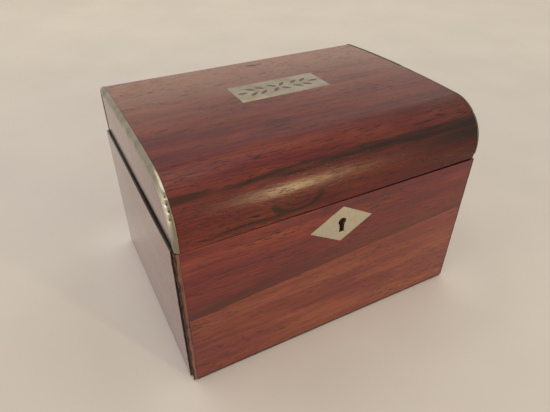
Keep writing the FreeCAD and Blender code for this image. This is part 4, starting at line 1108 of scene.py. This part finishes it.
# Finishes of the CAD nodes that show as they are.
FINISHES = {
    "front_veneer_upper": (wood_upper, WOOD_EDGE),
    "front_veneer_lower": (wood_lower, WOOD_EDGE),
    "rear_veneer": (wood_rear, WOOD_EDGE),
    "lid_right_end_veneer": (wood_ends, WOOD_EDGE),
    "escutcheon": (nickel, METAL_EDGE),
    "lid_plate": (plate_metal, PLATE_EDGE),
    "lid_plate_infill": (mastic(), 0),
    "lid_paper_lining": (lining_paper(), FINE_EDGE),
    "body_rim_facing": (dark_wood, 0),
    "lid_rim_facing": (dark_wood, 0),
}
SLOT_FINISHES = {
    "carcass_wood": (plain_wood, WOOD_EDGE),
    "inner_lid_wood": (wood_inner, WOOD_EDGE),
    "ebonised_wood": (dark_wood, FINE_EDGE),
    "lock_brass": (brass, FINE_EDGE),
    "bright_steel": (steel, 0),
}
slots = {part["node"]: part["material_slot"] for part in frame["record"]["subparts"]}
for node, shown in frame["nodes"].items():
    if not shown.hide_render:
        dress(node, *FINISHES.get(node) or SLOT_FINISHES[slots[node]])


# Floor, light and camera

FLOOR_RADIUS = 4.0
# Colour beside the caddy: painted light that evens out its contact shadow.
FLOOR_PAINTED_LIGHT = (0.640, 0.590, 0.555, 1.0)
FLOOR_NEAR = (0.545, 0.505, 0.465, 1.0)
FLOOR_FAR = (0.670, 0.610, 0.525, 1.0)
PAINTED_LIGHT_REACH = 50 * MM
NEAR_SPAN = (0.25, 0.9)
AMBIENT = (1.0, 0.94, 0.86, 1.0)
AMBIENT_STRENGTH = 0.78


def pale_floor():
    """Plain pale table, a little paler beside the caddy, as painted light that evens out its contact shadow,
    and paler further off.
    """
    graph = Graph("pale_table", Roughness=0.55)
    place = graph.place()
    distance = graph.vector("LENGTH", place, output="Value")
    past = graph.shifted(graph.vector("ABSOLUTE", place), (-RIGHT, -BACK, 0))
    beside = graph.vector("LENGTH", graph.vector("MAXIMUM", past), output="Value")
    # Paler beside the caddy: painted light over its contact shadow.
    colour = graph.mix(graph.span(beside, 0.0, PAINTED_LIGHT_REACH), FLOOR_PAINTED_LIGHT, FLOOR_NEAR)
    colour = graph.mix(graph.span(distance, *NEAR_SPAN), colour, FLOOR_FAR)
    mottle = graph.noise(place, (9, 9, 9), 4)
    graph.colour(graph.shaded(colour, graph.spread(mottle, 0.97, 1.03)))
    mesh = bpy.data.meshes.new("floor")
    editable = bmesh.new()
    bmesh.ops.create_circle(editable, cap_ends=True, segments=96, radius=FLOOR_RADIUS)
    editable.to_mesh(mesh)
    editable.free()
    floor = bpy.data.objects.new("floor", mesh)
    bpy.context.scene.collection.objects.link(floor)
    mesh.materials.append(graph.material)


def softbox(name, at, aim, size, power, colour, spread=180):
    """Soft rectangular lamp that the camera doesn't see."""
    light = bpy.data.lights.new(name, "AREA")
    light.shape = "RECTANGLE"
    light.spread = math.radians(spread)
    light.size, light.size_y = size
    light.energy = power
    light.color = colour
    lamp = bpy.data.objects.new(name, light)
    lamp.location = at
    lamp.rotation_euler = (Vector(aim) - Vector(at)).to_track_quat("-Z", "Y").to_euler()
    lamp.visible_camera = False
    bpy.context.scene.collection.objects.link(lamp)


def lighting():
    """Even light from all round, a wide lamp overhead and a low narrow one for the lid's highlight."""
    world = bpy.data.worlds.new("soft_room")
    world.use_nodes = True
    background = world.node_tree.nodes["Background"]
    background.inputs["Color"].default_value = AMBIENT
    background.inputs["Strength"].default_value = AMBIENT_STRENGTH
    bpy.context.scene.world = world
    softbox("overhead", (-0.2, 0.1, 1.3), (0, 0, 0), size=(1.1, 1.1), power=6.0, colour=(1.0, 0.95, 0.88))
    softbox(
        "low_front", (0.34, -0.88, 0.21), (0, 0, 0.1), size=(0.05, 0.28), power=0.60,
        colour=(1.0, 0.79, 0.38), spread=70,
    )


# The photo's camera: place in metres, turn in degrees and lens in millimetres.
CAMERA_AT = (-0.135523, -0.247802, 0.257357)
CAMERA_TURN = (53.7317, -0.2511, -27.7355)
CAMERA_LENS = 30.977


def photo_camera():
    """The camera that sees the caddy as the photo does."""
    camera = bpy.data.cameras.new("photo_view")
    camera.lens = CAMERA_LENS
    camera.clip_start = 0.01
    viewer = bpy.data.objects.new("photo_view", camera)
    viewer.location = CAMERA_AT
    viewer.rotation_euler = [math.radians(angle) for angle in CAMERA_TURN]
    bpy.context.scene.collection.objects.link(viewer)
    bpy.context.scene.camera = viewer


pale_floor()
lighting()
photo_camera()
bpy.context.scene.view_settings.view_transform = "Standard"
